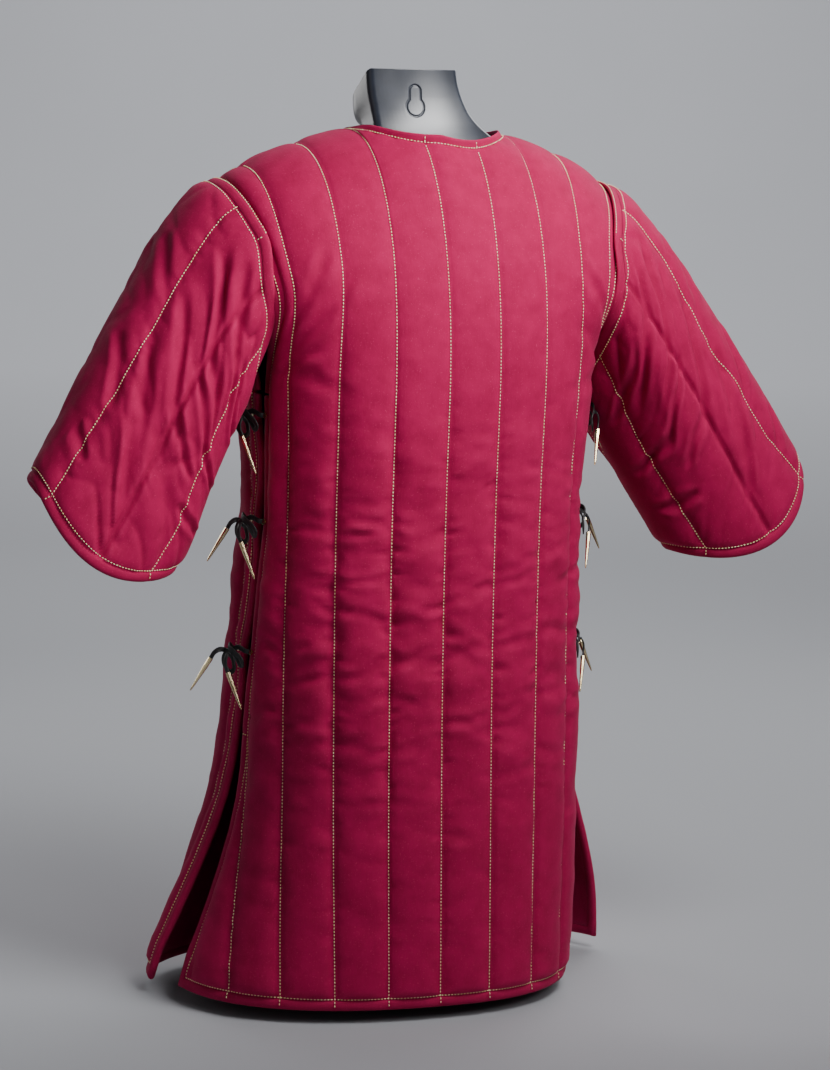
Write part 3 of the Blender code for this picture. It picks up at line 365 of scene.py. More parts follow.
# Cloth creases of the back: start and end in cloth distance and height, half width, depth
BACK_CREASES = (
    (0.142, 0.812, 0.196, 0.742, 0.0065, 0.0040),
    (0.120, 0.790, 0.186, 0.706, 0.0080, 0.0030),
    (0.150, 0.716, 0.196, 0.690, 0.0060, 0.0030),
    (0.118, 0.672, 0.190, 0.694, 0.0070, 0.0030),
    (-0.150, 0.800, -0.212, 0.742, 0.0070, 0.0032),
    (-0.146, 0.742, -0.210, 0.700, 0.0080, 0.0030),
    (-0.128, 0.672, -0.204, 0.680, 0.0070, 0.0026),
    (0.034, 0.764, 0.052, 0.728, 0.0030, 0.0010),
    (0.092, 0.524, 0.196, 0.518, 0.0042, 0.0034),
    (0.098, 0.540, 0.150, 0.530, 0.0050, 0.0024),
    (0.048, 0.532, 0.094, 0.536, 0.0048, 0.0026),
    (0.010, 0.520, 0.046, 0.512, 0.0050, 0.0022),
    (0.060, 0.478, 0.150, 0.470, 0.0036, 0.0022),
    (0.094, 0.438, 0.150, 0.446, 0.0050, 0.0024),
    (0.040, 0.428, 0.094, 0.434, 0.0060, 0.0022),
    (-0.018, 0.452, 0.040, 0.444, 0.0050, 0.0020),
    (-0.074, 0.470, -0.018, 0.462, 0.0050, 0.0022),
    (-0.200, 0.476, -0.130, 0.462, 0.0050, 0.0030),
    (-0.130, 0.500, -0.076, 0.494, 0.0050, 0.0024),
    (-0.196, 0.560, -0.130, 0.548, 0.0056, 0.0026),
    (-0.130, 0.580, -0.074, 0.590, 0.0056, 0.0018),
    (0.150, 0.404, 0.212, 0.384, 0.0050, 0.0034),
    (0.098, 0.376, 0.206, 0.352, 0.0056, 0.0030),
    (0.042, 0.392, 0.094, 0.380, 0.0056, 0.0026),
    (0.044, 0.342, 0.096, 0.350, 0.0060, 0.0024),
    (-0.014, 0.388, 0.040, 0.380, 0.0056, 0.0022),
    (-0.074, 0.398, -0.018, 0.404, 0.0056, 0.0022),
    (-0.130, 0.412, -0.076, 0.400, 0.0056, 0.0024),
    (-0.196, 0.398, -0.130, 0.408, 0.0056, 0.0026),
    (0.100, 0.300, 0.160, 0.288, 0.0060, 0.0022),
    (0.150, 0.322, 0.214, 0.300, 0.0060, 0.0026),
    (0.042, 0.296, 0.096, 0.288, 0.0060, 0.0020),
    (-0.016, 0.316, 0.040, 0.322, 0.0060, 0.0020),
    (-0.074, 0.336, -0.018, 0.326, 0.0060, 0.0020),
    (-0.130, 0.344, -0.076, 0.352, 0.0060, 0.0020),
    (-0.190, 0.330, -0.130, 0.320, 0.0060, 0.0022),
    (-0.074, 0.262, -0.018, 0.256, 0.0060, 0.0016),
    (0.042, 0.232, 0.096, 0.240, 0.0060, 0.0016),
    (-0.130, 0.276, -0.076, 0.268, 0.0060, 0.0018),
    (-0.016, 0.198, 0.040, 0.204, 0.0060, 0.0014),
)


def ridged(x, y, seed):
    """Noise with narrow valleys, between 0 on a ridge and 1 in a valley."""
    return (1.0 - np.abs(soft_noise(x, y, seed))) ** 5.0


def quilt_pucker(distance, channel, side_sign, height, seed):
    """Small folds that start at a stitched line and die out inside the channel."""
    line = channel * 7.0 + side_sign * 3.0
    slant = soft_noise(line, height / 0.07, seed + 6.0) * 0.5
    along = height + distance * slant
    folds = ridged(line * 1.7, along / 0.019, seed + 4.0)
    folds = folds + 0.6 * ridged(line * 2.9 + 4.0, along / 0.011, seed + 5.0)
    reach = 0.011 + 0.008 * soft_noise(line * 3.3, height / 0.030, seed + 7.0)
    return folds * np.exp(-(distance / np.maximum(reach, 0.004)) ** 2) * smoothstep(distance / 0.002)


def line_shift(lateral, height):
    """How far the outermost quilting lines stray toward the left beside the shoulder blades."""
    outer = smoothstep((np.abs(lateral) - 0.135) / 0.035)
    return LINE_SHIFT * outer * np.exp(-((height - LINE_SHIFT_Z) / LINE_SHIFT_REACH) ** 2)


def panel_wall(steps, height, rise, side):
    """Thickness of the padded wall: channels, puckers at the stitching and soft creases."""
    phase = (steps - line_shift(steps, height) - CENTRE_DRIFT) / QUILT_PITCH + 0.5
    distance = np.abs(phase - np.round(phase)) * QUILT_PITCH
    swell = channel_profile(distance, QUILT_PITCH / 2.0)
    seed = 3.0 if side > 0 else 11.0
    channel = np.round(phase - 0.5)
    flat = smoothstep((height - FLAT_FROM) / FLAT_OVER)
    waist = np.exp(-((height - 0.43) / 0.19) ** 2) * (1.0 - flat)
    line = WALL_AT_LINE[0] + (WALL_AT_LINE[1] - WALL_AT_LINE[0]) * flat
    middle = WALL_AT_MIDDLE[0] + (WALL_AT_MIDDLE[1] - WALL_AT_MIDDLE[0]) * flat
    dents = soft_noise(steps / 0.048 + channel * 3.7, height / 0.026 + channel * 1.9, seed)
    small = soft_noise(steps / 0.020, height / 0.010 + channel * 5.3, seed + 1.0)
    broad = soft_noise(steps / 0.11, height / 0.085, seed + 2.0)
    wall = line + (middle - line) * swell
    lumps = dents * (0.0008 + 0.0022 * waist) + small * (0.0003 + 0.0007 * waist)
    wall += swell * (lumps + broad * 0.0008)
    side_sign = np.sign(phase - np.round(phase))
    pucker = quilt_pucker(distance, np.round(phase), side_sign, height, seed)
    wall -= pucker * (0.0005 + 0.0026 * waist + 0.0009 * (1.0 - flat))
    if side > 0:
        bent = height + 0.0060 * soft_noise(steps / 0.026, height / 0.050, 41.0)
        bent = bent + 0.0026 * soft_noise(steps / 0.011, height / 0.030, 42.0)
        strength = (0.20 + 0.80 * swell) * (0.52 + 0.34 * soft_noise(steps / 0.020, height / 0.016, 43.0))
        for x0, z0, x1, z1, width, depth in BACK_CREASES:
            wall += crease(steps, bent, (x0, z0), (x1, z1), width, depth) * strength
    to_side = np.minimum(steps - steps[:, :1], steps[:, -1:] - steps)
    above = smoothstep(rise / 0.30)
    edge = CLOTH_AT_EDGE + (CLOTH_AT_ARMHOLE - CLOTH_AT_EDGE) * above
    share = channel_profile(np.maximum(to_side - ARMHOLE_FLAT * above, 0.0), EDGE_TAPER)
    wall = edge + (wall - edge) * share
    hem = channel_profile(np.maximum(height - HEM_Z - BINDING_WIDTH, 0.0), 0.013)
    wall = CLOTH_AT_EDGE + (wall - CLOTH_AT_EDGE) * hem
    return np.maximum(wall, 0.0025)


class Panel:
    """One body panel: inner and outer grids and its edges."""

    def __init__(self, side, density):
        self.side = side
        self.density = density
        self.inner, self.laterals = panel_grid(side, density)
        self.normals = outward_normals(self.inner, side)
        self.armpit = density["body_rows"] - 1
        if density is not COARSE:
            heights = self.inner[..., 2]
            rises = np.maximum(np.arange(len(heights)) - self.armpit, 0.0)[:, None] / density["yoke_rows"]
            self.wall = panel_wall(self.laterals, heights, rises, side)
            self.soften_neck()
            self.outer = self.inner + self.normals * self.wall[..., None]
            self.meet_at_shoulder()

    def soften_neck(self):
        """The padding thins toward the neckline's stitching."""
        neckline = self.inner[-1, self.neck_columns()]
        away = np.linalg.norm(self.inner[:, :, None] - neckline[None, None, ::4], axis=3).min(axis=2)
        share = channel_profile(np.maximum(away - 0.001, 0.0), 0.020)
        self.wall = CLOTH_AT_NECK + (self.wall - CLOTH_AT_NECK) * share

    def meet_at_shoulder(self):
        seam = np.abs(self.laterals[-1] - NECK_DRIFT) >= NECK_SEAM_HALF_WIDTH - 1e-6
        self.outer[-1, seam, 1] = RIDGE_Y
        self.inner[-1, seam, 1] = RIDGE_Y

    def edge(self, rows, column):
        neighbour = self.inner[rows, 1 if column == 0 else -2]
        return edge_run(self.inner[rows, column], neighbour, self.normals[rows, column])

    def hem(self):
        return edge_run(self.inner[0], self.inner[1], self.normals[0])

    def neck_columns(self):
        return np.abs(self.laterals[-1] - NECK_DRIFT) <= NECK_SEAM_HALF_WIDTH + 1e-6

    def neckline(self):
        inside = self.neck_columns()
        return edge_run(self.inner[-1, inside], self.inner[-2, inside], self.normals[-1, inside])


def edge_run(points, neighbours, normals):
    """Edge points with the direction away from the panel and the normal of the cloth."""
    tangents = unit(np.gradient(points, axis=0))
    away = unit(np.cross(tangents, normals))
    toward = np.sum(away * (neighbours - points), axis=1)
    return points, away * -np.sign(toward[len(points) // 2]), normals


def reversed_run(run):
    return tuple(part[::-1] for part in run)


def joined(first, second):
    """Join two runs at their meeting point, with a mitre where they turn a corner."""
    points, aways, normals = (np.concatenate([a[:-1], b]) for a, b in zip(first, second))
    meet = len(first[0]) - 1
    aways[meet] = mitre(first[1][-1], second[1][0])
    normals[meet] = unit(first[2][-1] + second[2][0])
    return points, aways, normals


def mitre(one, other):
    return (one + other) / (1.0 + np.dot(one, other))


def closed_run(run):
    points, aways, normals = (part.copy() for part in run)
    aways[0] = mitre(aways[0], aways[-1])
    normals[0] = unit(normals[0] + normals[-1])
    return points[:-1], aways[:-1], normals[:-1]


def trimmed_run(run, amount):
    points, aways, normals = (part.copy() for part in run)
    for end, inner in ((0, 1), (-1, -2)):
        step = unit(points[inner] - points[end])
        points[end] += step * min(amount, 0.8 * np.linalg.norm(points[inner] - points[end]))
    return points, aways, normals


def smooth_loop(points, count):
    """Even points on a closed Catmull-Rom curve; columns after the third are carried along."""
    fine = []
    total = len(points)
    for i in range(total):
        p0, p1, p2, p3 = (points[(i + k) % total] for k in (-1, 0, 1, 2))
        for t in np.linspace(0.0, 1.0, 12, endpoint=False):
            fine.append(catmull(p0, p1, p2, p3, t))
    fine = np.array(fine + [fine[0]])
    length = np.concatenate([[0.0], np.cumsum(np.linalg.norm(np.diff(fine[:, :3], axis=0), axis=1))])
    at = np.linspace(0.0, length[-1], count + 1)[:-1]
    return np.stack([np.interp(at, length, fine[:, i]) for i in range(fine.shape[1])], axis=1)


def catmull(p0, p1, p2, p3, t):
    return 0.5 * (2.0 * p1 + (p2 - p0) * t + (2.0 * p0 - 5.0 * p1 + 4.0 * p2 - p3) * t * t
                  + (3.0 * p1 - p0 - 3.0 * p2 + p3) * t ** 3)


def smooth_line(points, step):
    """Even points on an open Catmull-Rom curve."""
    ends = np.concatenate([[2.0 * points[0] - points[1]], points, [2.0 * points[-1] - points[-2]]])
    fine = [catmull(*ends[i - 1:i + 3], t) for i in range(1, len(ends) - 2)
            for t in np.linspace(0.0, 1.0, 14, endpoint=False)]
    return even_points(np.array(fine + [ends[-2]]), step)


def even_points(fine, step):
    length = running_length(fine)
    at = np.linspace(0.0, length[-1], max(int(round(length[-1] / step)), 1) + 1)
    return np.stack([np.interp(at, length, fine[:, i]) for i in range(fine.shape[1])], axis=1)


def running_length(points):
    return np.concatenate([[0.0], np.cumsum(np.linalg.norm(np.diff(points[:, :3], axis=0), axis=1))])


def sleeve_head(back, front, column, mirror):
    """Head edge of a sleeve's inner surface, with the way it leads."""
    flip = np.array([mirror, 1.0, 1.0])
    arm = unit(np.array(HEAD_DIRECTION)) * flip
    below = unit(np.array(UNDERARM_DIRECTION)) * flip
    halves = []
    for panel in (back, front):
        first_row = COARSE["body_rows"] - 1 + HEAD_FIRST_ROW
        rows = np.arange(first_row, COARSE["body_rows"] + COARSE["yoke_rows"])
        rises = (rows - COARSE["body_rows"] + 1) / COARSE["yoke_rows"]
        edge = panel.inner[rows, column]
        out = unit(edge - panel.inner[rows, 1 if column == 0 else -2])
        lap, lift = (np.interp(rises, [r[0] for r in HEAD_PLACES], [r[i] for r in HEAD_PLACES])
                     for i in (1, 2))
        if panel is front:
            out = np.where(lap[:, None] > 0.0, np.array([mirror, 0.0, 0.0]), out)
            lap = np.minimum(lap, HEAD_FRONT_OUT)
        places = edge + out * lap[:, None] + panel.normals[rows, column] * lift[:, None]
        on_body = smoothstep((rises - 0.25) / 0.25)[:, None]
        halves.append(np.concatenate([places, unit(arm + (out - arm) * on_body)], axis=1))
    top = (halves[0][-1] + halves[1][-1]) / 2.0
    underarm = np.array(UNDERARM_LEFT if mirror > 0.0 else UNDERARM_RIGHT)
    lowest = UNDERARM_POINTS_LEFT if mirror > 0.0 else UNDERARM_POINTS_RIGHT
    low = [np.concatenate([underarm + (0.0, depth, rise), below]) for depth, rise in lowest]
    ring = [top] + list(halves[0][-2::-1]) + low + list(halves[1][:-1])
    return smooth_loop(ring, SLEEVE_RING)


def cuff_ring(mirror):
    centre = np.array(CUFF_CENTRE_LEFT if mirror > 0.0 else CUFF_CENTRE_RIGHT)
    outward = unit(np.array(CUFF_OUTWARD) * (mirror, 1.0, 1.0))
    down = unit(np.array(CUFF_DOWN) * (mirror, 1.0, 1.0))
    across = np.cross(outward, down) * mirror
    turn = np.arange(SLEEVE_RING * 2) * math.pi / SLEEVE_RING
    bulge = np.where(np.sin(turn) * across[1] > 0.0, CUFF_BULGE_BACK, CUFF_BULGE_FRONT)
    points = (centre + outward * CUFF_HALF_WIDTH * np.cos(turn)[:, None]
              + across * CUFF_HALF_DEPTH * np.sin(turn)[:, None]
              + down * (bulge * np.sin(turn) ** 2)[:, None])
    return smooth_loop(list(points), SLEEVE_RING)


def sleeve_grid(back, front, left):
    """Inner surface of a sleeve between its two rolled edges, in even rows."""
    mirror = 1.0 if left else -1.0
    ring = sleeve_head(back, front, -1 if left else 0, mirror)
    head = ring[:, :3]
    shoulder = head + unit(ring[:, 3:]) * HEAD_TURN
    cuff = cuff_ring(mirror)
    start = unit(ring[:, 3:] + np.array(HEAD_DIRECTION) * (mirror, 1.0, 1.0))
    finish = unit(np.array(CUFF_DOWN) * (mirror, 1.0, 1.0))
    reach = np.linalg.norm(cuff - shoulder, axis=1, keepdims=True)
    rows = [head]
    for t in np.linspace(0.0, 1.0, 40):
        h0 = 2.0 * t ** 3 - 3.0 * t ** 2 + 1.0
        h1 = t ** 3 - 2.0 * t ** 2 + t
        h2 = -2.0 * t ** 3 + 3.0 * t ** 2
        h3 = t ** 3 - t ** 2
        rows.append(shoulder * h0 + start * reach * h1 * HEAD_TENSION
                    + cuff * h2 + finish * reach * h3 * CUFF_TENSION)
    rows = np.array(rows)
    grid = np.empty((SLEEVE_ROWS, SLEEVE_RING, 3))
    for j in range(SLEEVE_RING):
        length = running_length(rows[:, j])
        at = np.linspace(BINDING_WIDTH, length[-1] - BINDING_WIDTH, SLEEVE_ROWS)
        grid[:, j] = np.stack([np.interp(at, length, rows[:, j, i]) for i in range(3)], axis=1)
    return grid


def ring_normals(grid):
    along = np.roll(grid, -1, axis=1) - np.roll(grid, 1, axis=1)
    down = np.gradient(grid, axis=0)
    normals = unit(np.cross(along, down))
    middle = grid.mean(axis=1, keepdims=True)
    return normals * np.sign(np.sum(normals * (grid - middle)))


def ring_run(points, neighbours, normals):
    tangents = unit(np.roll(points, -1, axis=0) - np.roll(points, 1, axis=0))
    away = unit(np.cross(tangents, normals))
    turn = -np.sign(np.sum(away * (neighbours - points)))
    return points, away * turn, normals


# Lines down a sleeve's back: degrees round its ring, at the head, then each fifth down to the cuff
SLEEVE_LINE_SHARES = (0.0, 0.2, 0.4, 0.6, 0.8, 1.0)
SLEEVE_LINES = {
    "left": {
        "outer": (42.0, 44.0, 44.0, 40.5, 35.0, 32.0),
        "seam": (96.0, 93.5, 93.0, 93.0, 92.0, 92.0),
        "lower": (130.0, 131.0, 135.0, 137.0, 142.0, 138.0),
    },
    "right": {
        "outer": (45.0, 47.0, 57.0, 52.0, 50.0, 34.0),
        "seam": (96.0, 98.0, 97.0, 96.0, 95.0, 94.0),
        "lower": (149.0, 153.0, 156.0, 154.0, 151.0, 148.0),
    },
}
SLEEVE_LENGTH = 0.30
SLEEVE_RADIUS = 0.082
SLEEVE_MAP_RADIUS = 0.085
SLEEVE_MIDDLE = 0.0104
SLEEVE_LINE = 0.0058
SEAM_LAP = 0.0011
HEAD_LINE_END_Z = 0.833

# Sleeve creases: start and end as degrees round and share down, half width, depth
SLEEVE_CREASES = (
    (62.0, 0.10, 118.0, 0.36, 0.0060, 0.0036),
    (80.0, 0.06, 140.0, 0.26, 0.0060, 0.0034),
    (55.0, 0.30, 100.0, 0.56, 0.0070, 0.0036),
    (48.0, 0.44, 84.0, 0.74, 0.0080, 0.0038),
    (60.0, 0.62, 92.0, 0.84, 0.0060, 0.0030),
    (94.0, 0.34, 134.0, 0.46, 0.0050, 0.0032),
    (92.0, 0.50, 128.0, 0.60, 0.0056, 0.0030),
    (20.0, 0.50, 44.0, 0.66, 0.0070, 0.0026),
    (14.0, 0.22, 40.0, 0.34, 0.0070, 0.0022),
    (22.0, 0.80, 42.0, 0.86, 0.0060, 0.0024),
    (120.0, 0.14, 165.0, 0.26, 0.0060, 0.0034),
    (128.0, 0.46, 170.0, 0.54, 0.0060, 0.0030),
    (132.0, 0.72, 168.0, 0.78, 0.0060, 0.0026),
    (-30.0, 0.30, -60.0, 0.52, 0.0070, 0.0028),
    (-70.0, 0.20, -120.0, 0.42, 0.0070, 0.0032),
    (-80.0, 0.55, -130.0, 0.66, 0.0060, 0.0028),
)


class Sleeve:
    """One sleeve: inner and outer grids, and where its lines run."""

    def __init__(self, back, front, left):
        self.name = "left" if left else "right"
        self.inner = sleeve_grid(back, front, left)
        self.normals = ring_normals(self.inner)
        around = np.roll(self.inner, -1, axis=1) - self.inner
        self.girth = np.linalg.norm(around, axis=2).sum(axis=1)
        self.down = np.stack([running_length(self.inner[:, j]) for j in range(SLEEVE_RING)], axis=1)
        self.share = self.down / self.down[-1:]
        self.angles = np.broadcast_to(np.arange(SLEEVE_RING) * 360.0 / SLEEVE_RING, self.inner.shape[:2])
        self.wall = self.padding(21.0 if left else 31.0)
        self.outer = self.inner + self.normals * self.wall[..., None]

    def lines(self):
        """Each line's name and its degrees round the ring in every row; the front repeats the back."""
        rows = np.linspace(0.0, 1.0, SLEEVE_ROWS)
        for name, angles in SLEEVE_LINES[self.name].items():
            degrees = np.interp(rows, SLEEVE_LINE_SHARES, angles)
            yield name, degrees
            yield name, -degrees

    @staticmethod
    def draped(around, down, slant, long, wide, seed):
        """Soft valleys that run at a slant to the sleeve, between 0 and 1."""
        turn = math.radians(slant)
        along = around * math.sin(turn) + down * math.cos(turn)
        across = down * math.sin(turn) - around * math.cos(turn)
        return (1.0 - np.abs(soft_noise(along / long, across / wide, seed))) ** 2.4

    def away_from(self, degrees):
        turn = (self.angles - degrees[:, None] + 180.0) % 360.0 - 180.0
        return np.abs(turn) / 360.0 * self.girth[:, None], np.sign(turn)

    def padding(self, seed):
        nearest = np.full(self.angles.shape, 1.0)
        folds = np.zeros(self.angles.shape)
        seam = np.zeros(self.angles.shape)
        for number, (name, degrees) in enumerate(self.lines()):
            distance, side = self.away_from(degrees)
            if name == "seam":
                seam += np.exp(-(distance / 0.0030) ** 2) * 0.0052
                seam += np.exp(-(distance / 0.0120) ** 2) * 0.0016
                seam -= np.exp(-distance / 0.0090) * side * SEAM_LAP
            else:
                nearest = np.minimum(nearest, distance)
            folds = np.maximum(folds, quilt_pucker(distance, number + 0.5, side, self.down, seed))
        swell = channel_profile(nearest, 0.030)
        turn = np.radians(self.angles)
        broad = soft_noise(turn / 0.9, self.down / 0.050, seed)
        around = turn * self.girth[:, None] / (2.0 * math.pi)
        around = around + 0.012 * soft_noise(turn / 0.8, self.down / 0.070, seed + 8.0)
        down = self.down + 0.012 * soft_noise(turn / 0.8, self.down / 0.070, seed + 9.0)
        drapes = self.draped(around, down, 60.0, 0.040, 0.027, seed + 1.0)
        small = self.draped(around, down, -40.0, 0.026, 0.017, seed + 2.0)
        centred = (self.angles + 180.0) % 360.0 - 180.0
        inside = 0.28 + 0.72 * np.exp(-((centred - 100.0) / 52.0) ** 2)
        inside = inside * (0.72 + 0.28 * soft_noise(turn / 0.8, self.down / 0.07, seed + 5.0))
        if self.name == "right":
            inside = inside * (0.40 + 0.60 * smoothstep((0.45 - self.share) / 0.35))
        to_end = np.minimum(self.down, self.down[-1:] - self.down)
        share = channel_profile(to_end, 0.016)
        wall = SLEEVE_LINE + (SLEEVE_MIDDLE - SLEEVE_LINE) * swell
        wall += swell * (broad * 0.0012 - inside * (drapes * 0.0060 + small * 0.0016)) - seam
        wall -= folds * 0.0016
        bent = self.share * SLEEVE_LENGTH + 0.007 * soft_noise(turn / 0.33, self.down / 0.045, seed + 6.0)
        for a0, d0, a1, d1, width, depth in SLEEVE_CREASES:
            middle = (a0 + a1) / 2.0
            degrees = (self.angles - middle + 180.0) % 360.0 - 180.0
            px = np.radians(degrees) * SLEEVE_RADIUS
            ends = [(math.radians(a - middle) * SLEEVE_RADIUS, d * SLEEVE_LENGTH)
                    for a, d in ((a0, d0), (a1, d1))]
            wall += crease(px, bent, *ends, width, depth)
        edge = np.where(self.share < 0.5, HEAD_WALL * 0.9, CLOTH_AT_EDGE)
        return np.maximum(edge + (wall - edge) * share, 0.0030)

    def along(self, degrees):
        """Outer surface and normals along a line given by its degrees in every row."""
        at = degrees % 360.0 / 360.0 * SLEEVE_RING
        low = np.floor(at).astype(int) % SLEEVE_RING
        high = (low + 1) % SLEEVE_RING
        share = (at - np.floor(at))[:, None]
        rows = np.arange(SLEEVE_ROWS)
        return [grid[rows, low] * (1.0 - share) + grid[rows, high] * share
                for grid in (self.outer, self.normals)]

    def end_run(self, row):
        beside = 1 if row == 0 else -2
        return ring_run(self.inner[row], self.inner[beside], self.normals[row])


# Mesh making

def add_piece(name, points, quads, material, uv=None, triangles=()):
    faces = [tuple(int(v) for v in face) for face in quads] + [tuple(f) for f in triangles]
    mesh = bpy.data.meshes.new(name)
    mesh.from_pydata([tuple(float(v) for v in p) for p in points], [], faces)
    mesh.materials.append(material)
    mesh.shade_smooth()
    if uv is not None:
        layer = mesh.uv_layers.new(name="cloth")
        corners = np.empty(len(mesh.loops), dtype=np.int32)
        mesh.loops.foreach_get("vertex_index", corners)
        layer.data.foreach_set("uv", np.asarray(uv, dtype=np.float32)[corners].ravel())
    item = bpy.data.objects.new(name, mesh)
    bpy.context.collection.objects.link(item)
    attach(item, "root")
    return item


def face_outward(points, quads):
    """Turn all faces of a closed mesh out."""
    a, b, c, d = (points[quads[:, i]] for i in range(4))
    total = np.sum(a * np.cross(b, c)) + np.sum(a * np.cross(c, d))
    return quads if total > 0.0 else quads[:, ::-1]


def grid_quads(rows, columns, start=0, closed=False):
    i, j = np.meshgrid(np.arange(rows - 1), np.arange(columns if closed else columns - 1), indexing="ij")
    k = (j + 1) % columns
    corners = [i * columns + j, i * columns + k, (i + 1) * columns + k, (i + 1) * columns + j]
    quads = np.stack(corners, axis=-1)
    return quads.reshape(-1, 4) + start


def shell(inner, outer):
    """Closed wall between two grids with one rim round it."""
    rows, columns = inner.shape[:2]
    count = rows * columns
    points = np.concatenate([inner.reshape(-1, 3), outer.reshape(-1, 3)])
    rim = [c for c in range(columns)]
    rim += [r * columns + columns - 1 for r in range(1, rows)]
    rim += [(rows - 1) * columns + c for c in range(columns - 2, -1, -1)]
    rim += [r * columns for r in range(rows - 2, 0, -1)]
    rim = np.array(rim)
    after = np.roll(rim, -1)
    sides = np.stack([rim, after, after + count, rim + count], axis=1)
    quads = np.concatenate([grid_quads(rows, columns, count), grid_quads(rows, columns)[:, ::-1], sides])
    return points, face_outward(points, quads)


def tube_shell(inner, outer):
    """Closed wall round a tube with a rim at each end."""
    rows, around = inner.shape[:2]
    count = rows * around
    points = np.concatenate([inner.reshape(-1, 3), outer.reshape(-1, 3)])
    j = np.arange(around)
    k = (j + 1) % around
    low = (rows - 1) * around
    head = np.stack([j, k, k + count, j + count], axis=1)
    cuff = np.stack([low + k, low + j, low + j + count, low + k + count], axis=1)
    quads = np.concatenate([grid_quads(rows, around, count, True)[:, ::-1],
                            grid_quads(rows, around, 0, True), head, cuff])
    return points, face_outward(points, quads)


ROLL_SIDES = 14
ROLL_TUCK = 0.0012
NECK_ROLL_THICKNESS = 0.0052
NECK_ROLL_WALL = 0.0100
NECK_TURN_UP = math.radians(48.0)
NECK_TURN_FRONT = math.radians(6.0)
RING_EASING = 8
ARMHOLE_ROLL_THICKNESS = 0.0080
CUFF_ROLL_THICKNESS = 0.0086


def tick_share(points, ticks):
    """How near each point of a run lies to a quilting line that crosses the roll."""
    if ticks is None or not len(ticks):
        return np.zeros(len(points))
    away = np.linalg.norm(points[:, None] - np.asarray(ticks)[None], axis=2).min(axis=1)
    return np.exp(-(away / 0.0042) ** 2)


def eased_ring(run):
    """The same closed run with its directions eased into each other."""
    points, aways, normals = run
    for _ in range(RING_EASING):
        aways = (np.roll(aways, 1, axis=0) + aways * 2.0 + np.roll(aways, -1, axis=0)) / 4.0
        normals = (np.roll(normals, 1, axis=0) + normals * 2.0 + np.roll(normals, -1, axis=0)) / 4.0
    return points, unit(aways), unit(normals)


def roll_rings(run, thickness, wall, turn_up=0.0, ticks=None):
    """Rings of a soft rolled edge along a run, with small lumps and a nick at each tick."""
    points, aways, normals = run
    turn_up = np.broadcast_to(turn_up, len(points))[:, None]
    length = running_length(points)
    turn = np.arange(ROLL_SIDES) * 2.0 * math.pi / ROLL_SIDES
    reach = (BINDING_WIDTH + ROLL_TUCK) / 2.0
    cosine, sine = np.cos(turn), np.sin(turn)
    across = -ROLL_TUCK + reach * (1.0 + np.sign(cosine) * np.abs(cosine) ** 0.86)
    rise = np.sign(sine) * np.abs(sine) ** 0.86
    lumps = 0.94 + 0.06 * soft_noise(length / 0.016, length * 0.0 + 0.5, 5.0)
    lumps = lumps * (1.0 - 0.26 * tick_share(points, ticks))
    lift = (wall + thickness * rise[None, :] * lumps[:, None]) / 2.0
    upward = np.maximum(across, 0.0)[None, :] * np.sin(turn_up)
    outward = across[None, :] * np.cos(turn_up)
    return (points[:, None] + aways[:, None] * outward[..., None]
            + normals[:, None] * (lift + upward)[..., None])


def add_roll(name, rings, material, closed=False):
    count, around = rings.shape[:2]
    length = running_length(rings[:, 0])
    turn = np.arange(around) * 2.0 * math.pi / around
    uv = np.stack(np.broadcast_arrays(turn[None, :] * 0.0045, length[:, None]), axis=-1).reshape(-1, 2)
    flat = rings.reshape(-1, 3)
    quads = grid_quads(count, around, 0, True)
    if closed:
        j = np.arange(around)
        k = (j + 1) % around
        last = (count - 1) * around
        quads = np.concatenate([quads, np.stack([last + j, last + k, k, j], axis=1)])
        return add_piece(name, flat, face_outward(flat, quads), material, uv)
    outward = face_outward(flat, quads)
    ends = [list(range(around))[::-1], [(count - 1) * around + j for j in range(around)]]
    if not np.array_equal(outward, quads):
        ends = [end[::-1] for end in ends]
    return add_piece(name, flat, outward, material, uv, ends)


# Stitching

def stitches(lines):
    """Small thread stitches along lines of points with the cloth's normals beside them."""
    points = []
    quads = []
    turn = np.arange(STITCH_SIDES) * 2.0 * math.pi / STITCH_SIDES
    for line, normals in lines:
        length = running_length(line)
        total = int((length[-1] - 0.5 * STITCH_PITCH) / STITCH_PITCH)
        at = (np.arange(total) + 0.5) * STITCH_PITCH
        centre = np.stack([np.interp(at, length, line[:, i]) for i in range(3)], axis=1)
        normal = unit(np.stack([np.interp(at, length, normals[:, i]) for i in range(3)], axis=1))
        ahead = np.stack([np.interp(at + 0.001, length, line[:, i]) for i in range(3)], axis=1)
        back = np.stack([np.interp(at - 0.001, length, line[:, i]) for i in range(3)], axis=1)
        along = unit(ahead - back)
        side = unit(np.cross(along, normal))
        rings = []
        for share, size, drop in STITCH_RINGS:
            middle = centre + along * STITCH_LENGTH * share + normal * (STITCH_RADIUS * (0.55 - drop * 2.0))
            radial = (side[:, None] * np.cos(turn)[None, :, None]
                      + normal[:, None] * np.sin(turn)[None, :, None])
            rings.append(middle[:, None] + radial * STITCH_RADIUS * size)
        rings = np.stack(rings, axis=1)
        base = sum(len(p) for p in points) if points else 0
        flat = rings.reshape(-1, 3)
        one = grid_quads(4, STITCH_SIDES, 0, True)
        shift = (np.arange(total) * len(STITCH_RINGS) * STITCH_SIDES)[:, None, None]
        quads.append((one[None] + shift).reshape(-1, 4) + base)
        points.append(flat)
    return np.concatenate(points), np.concatenate(quads)


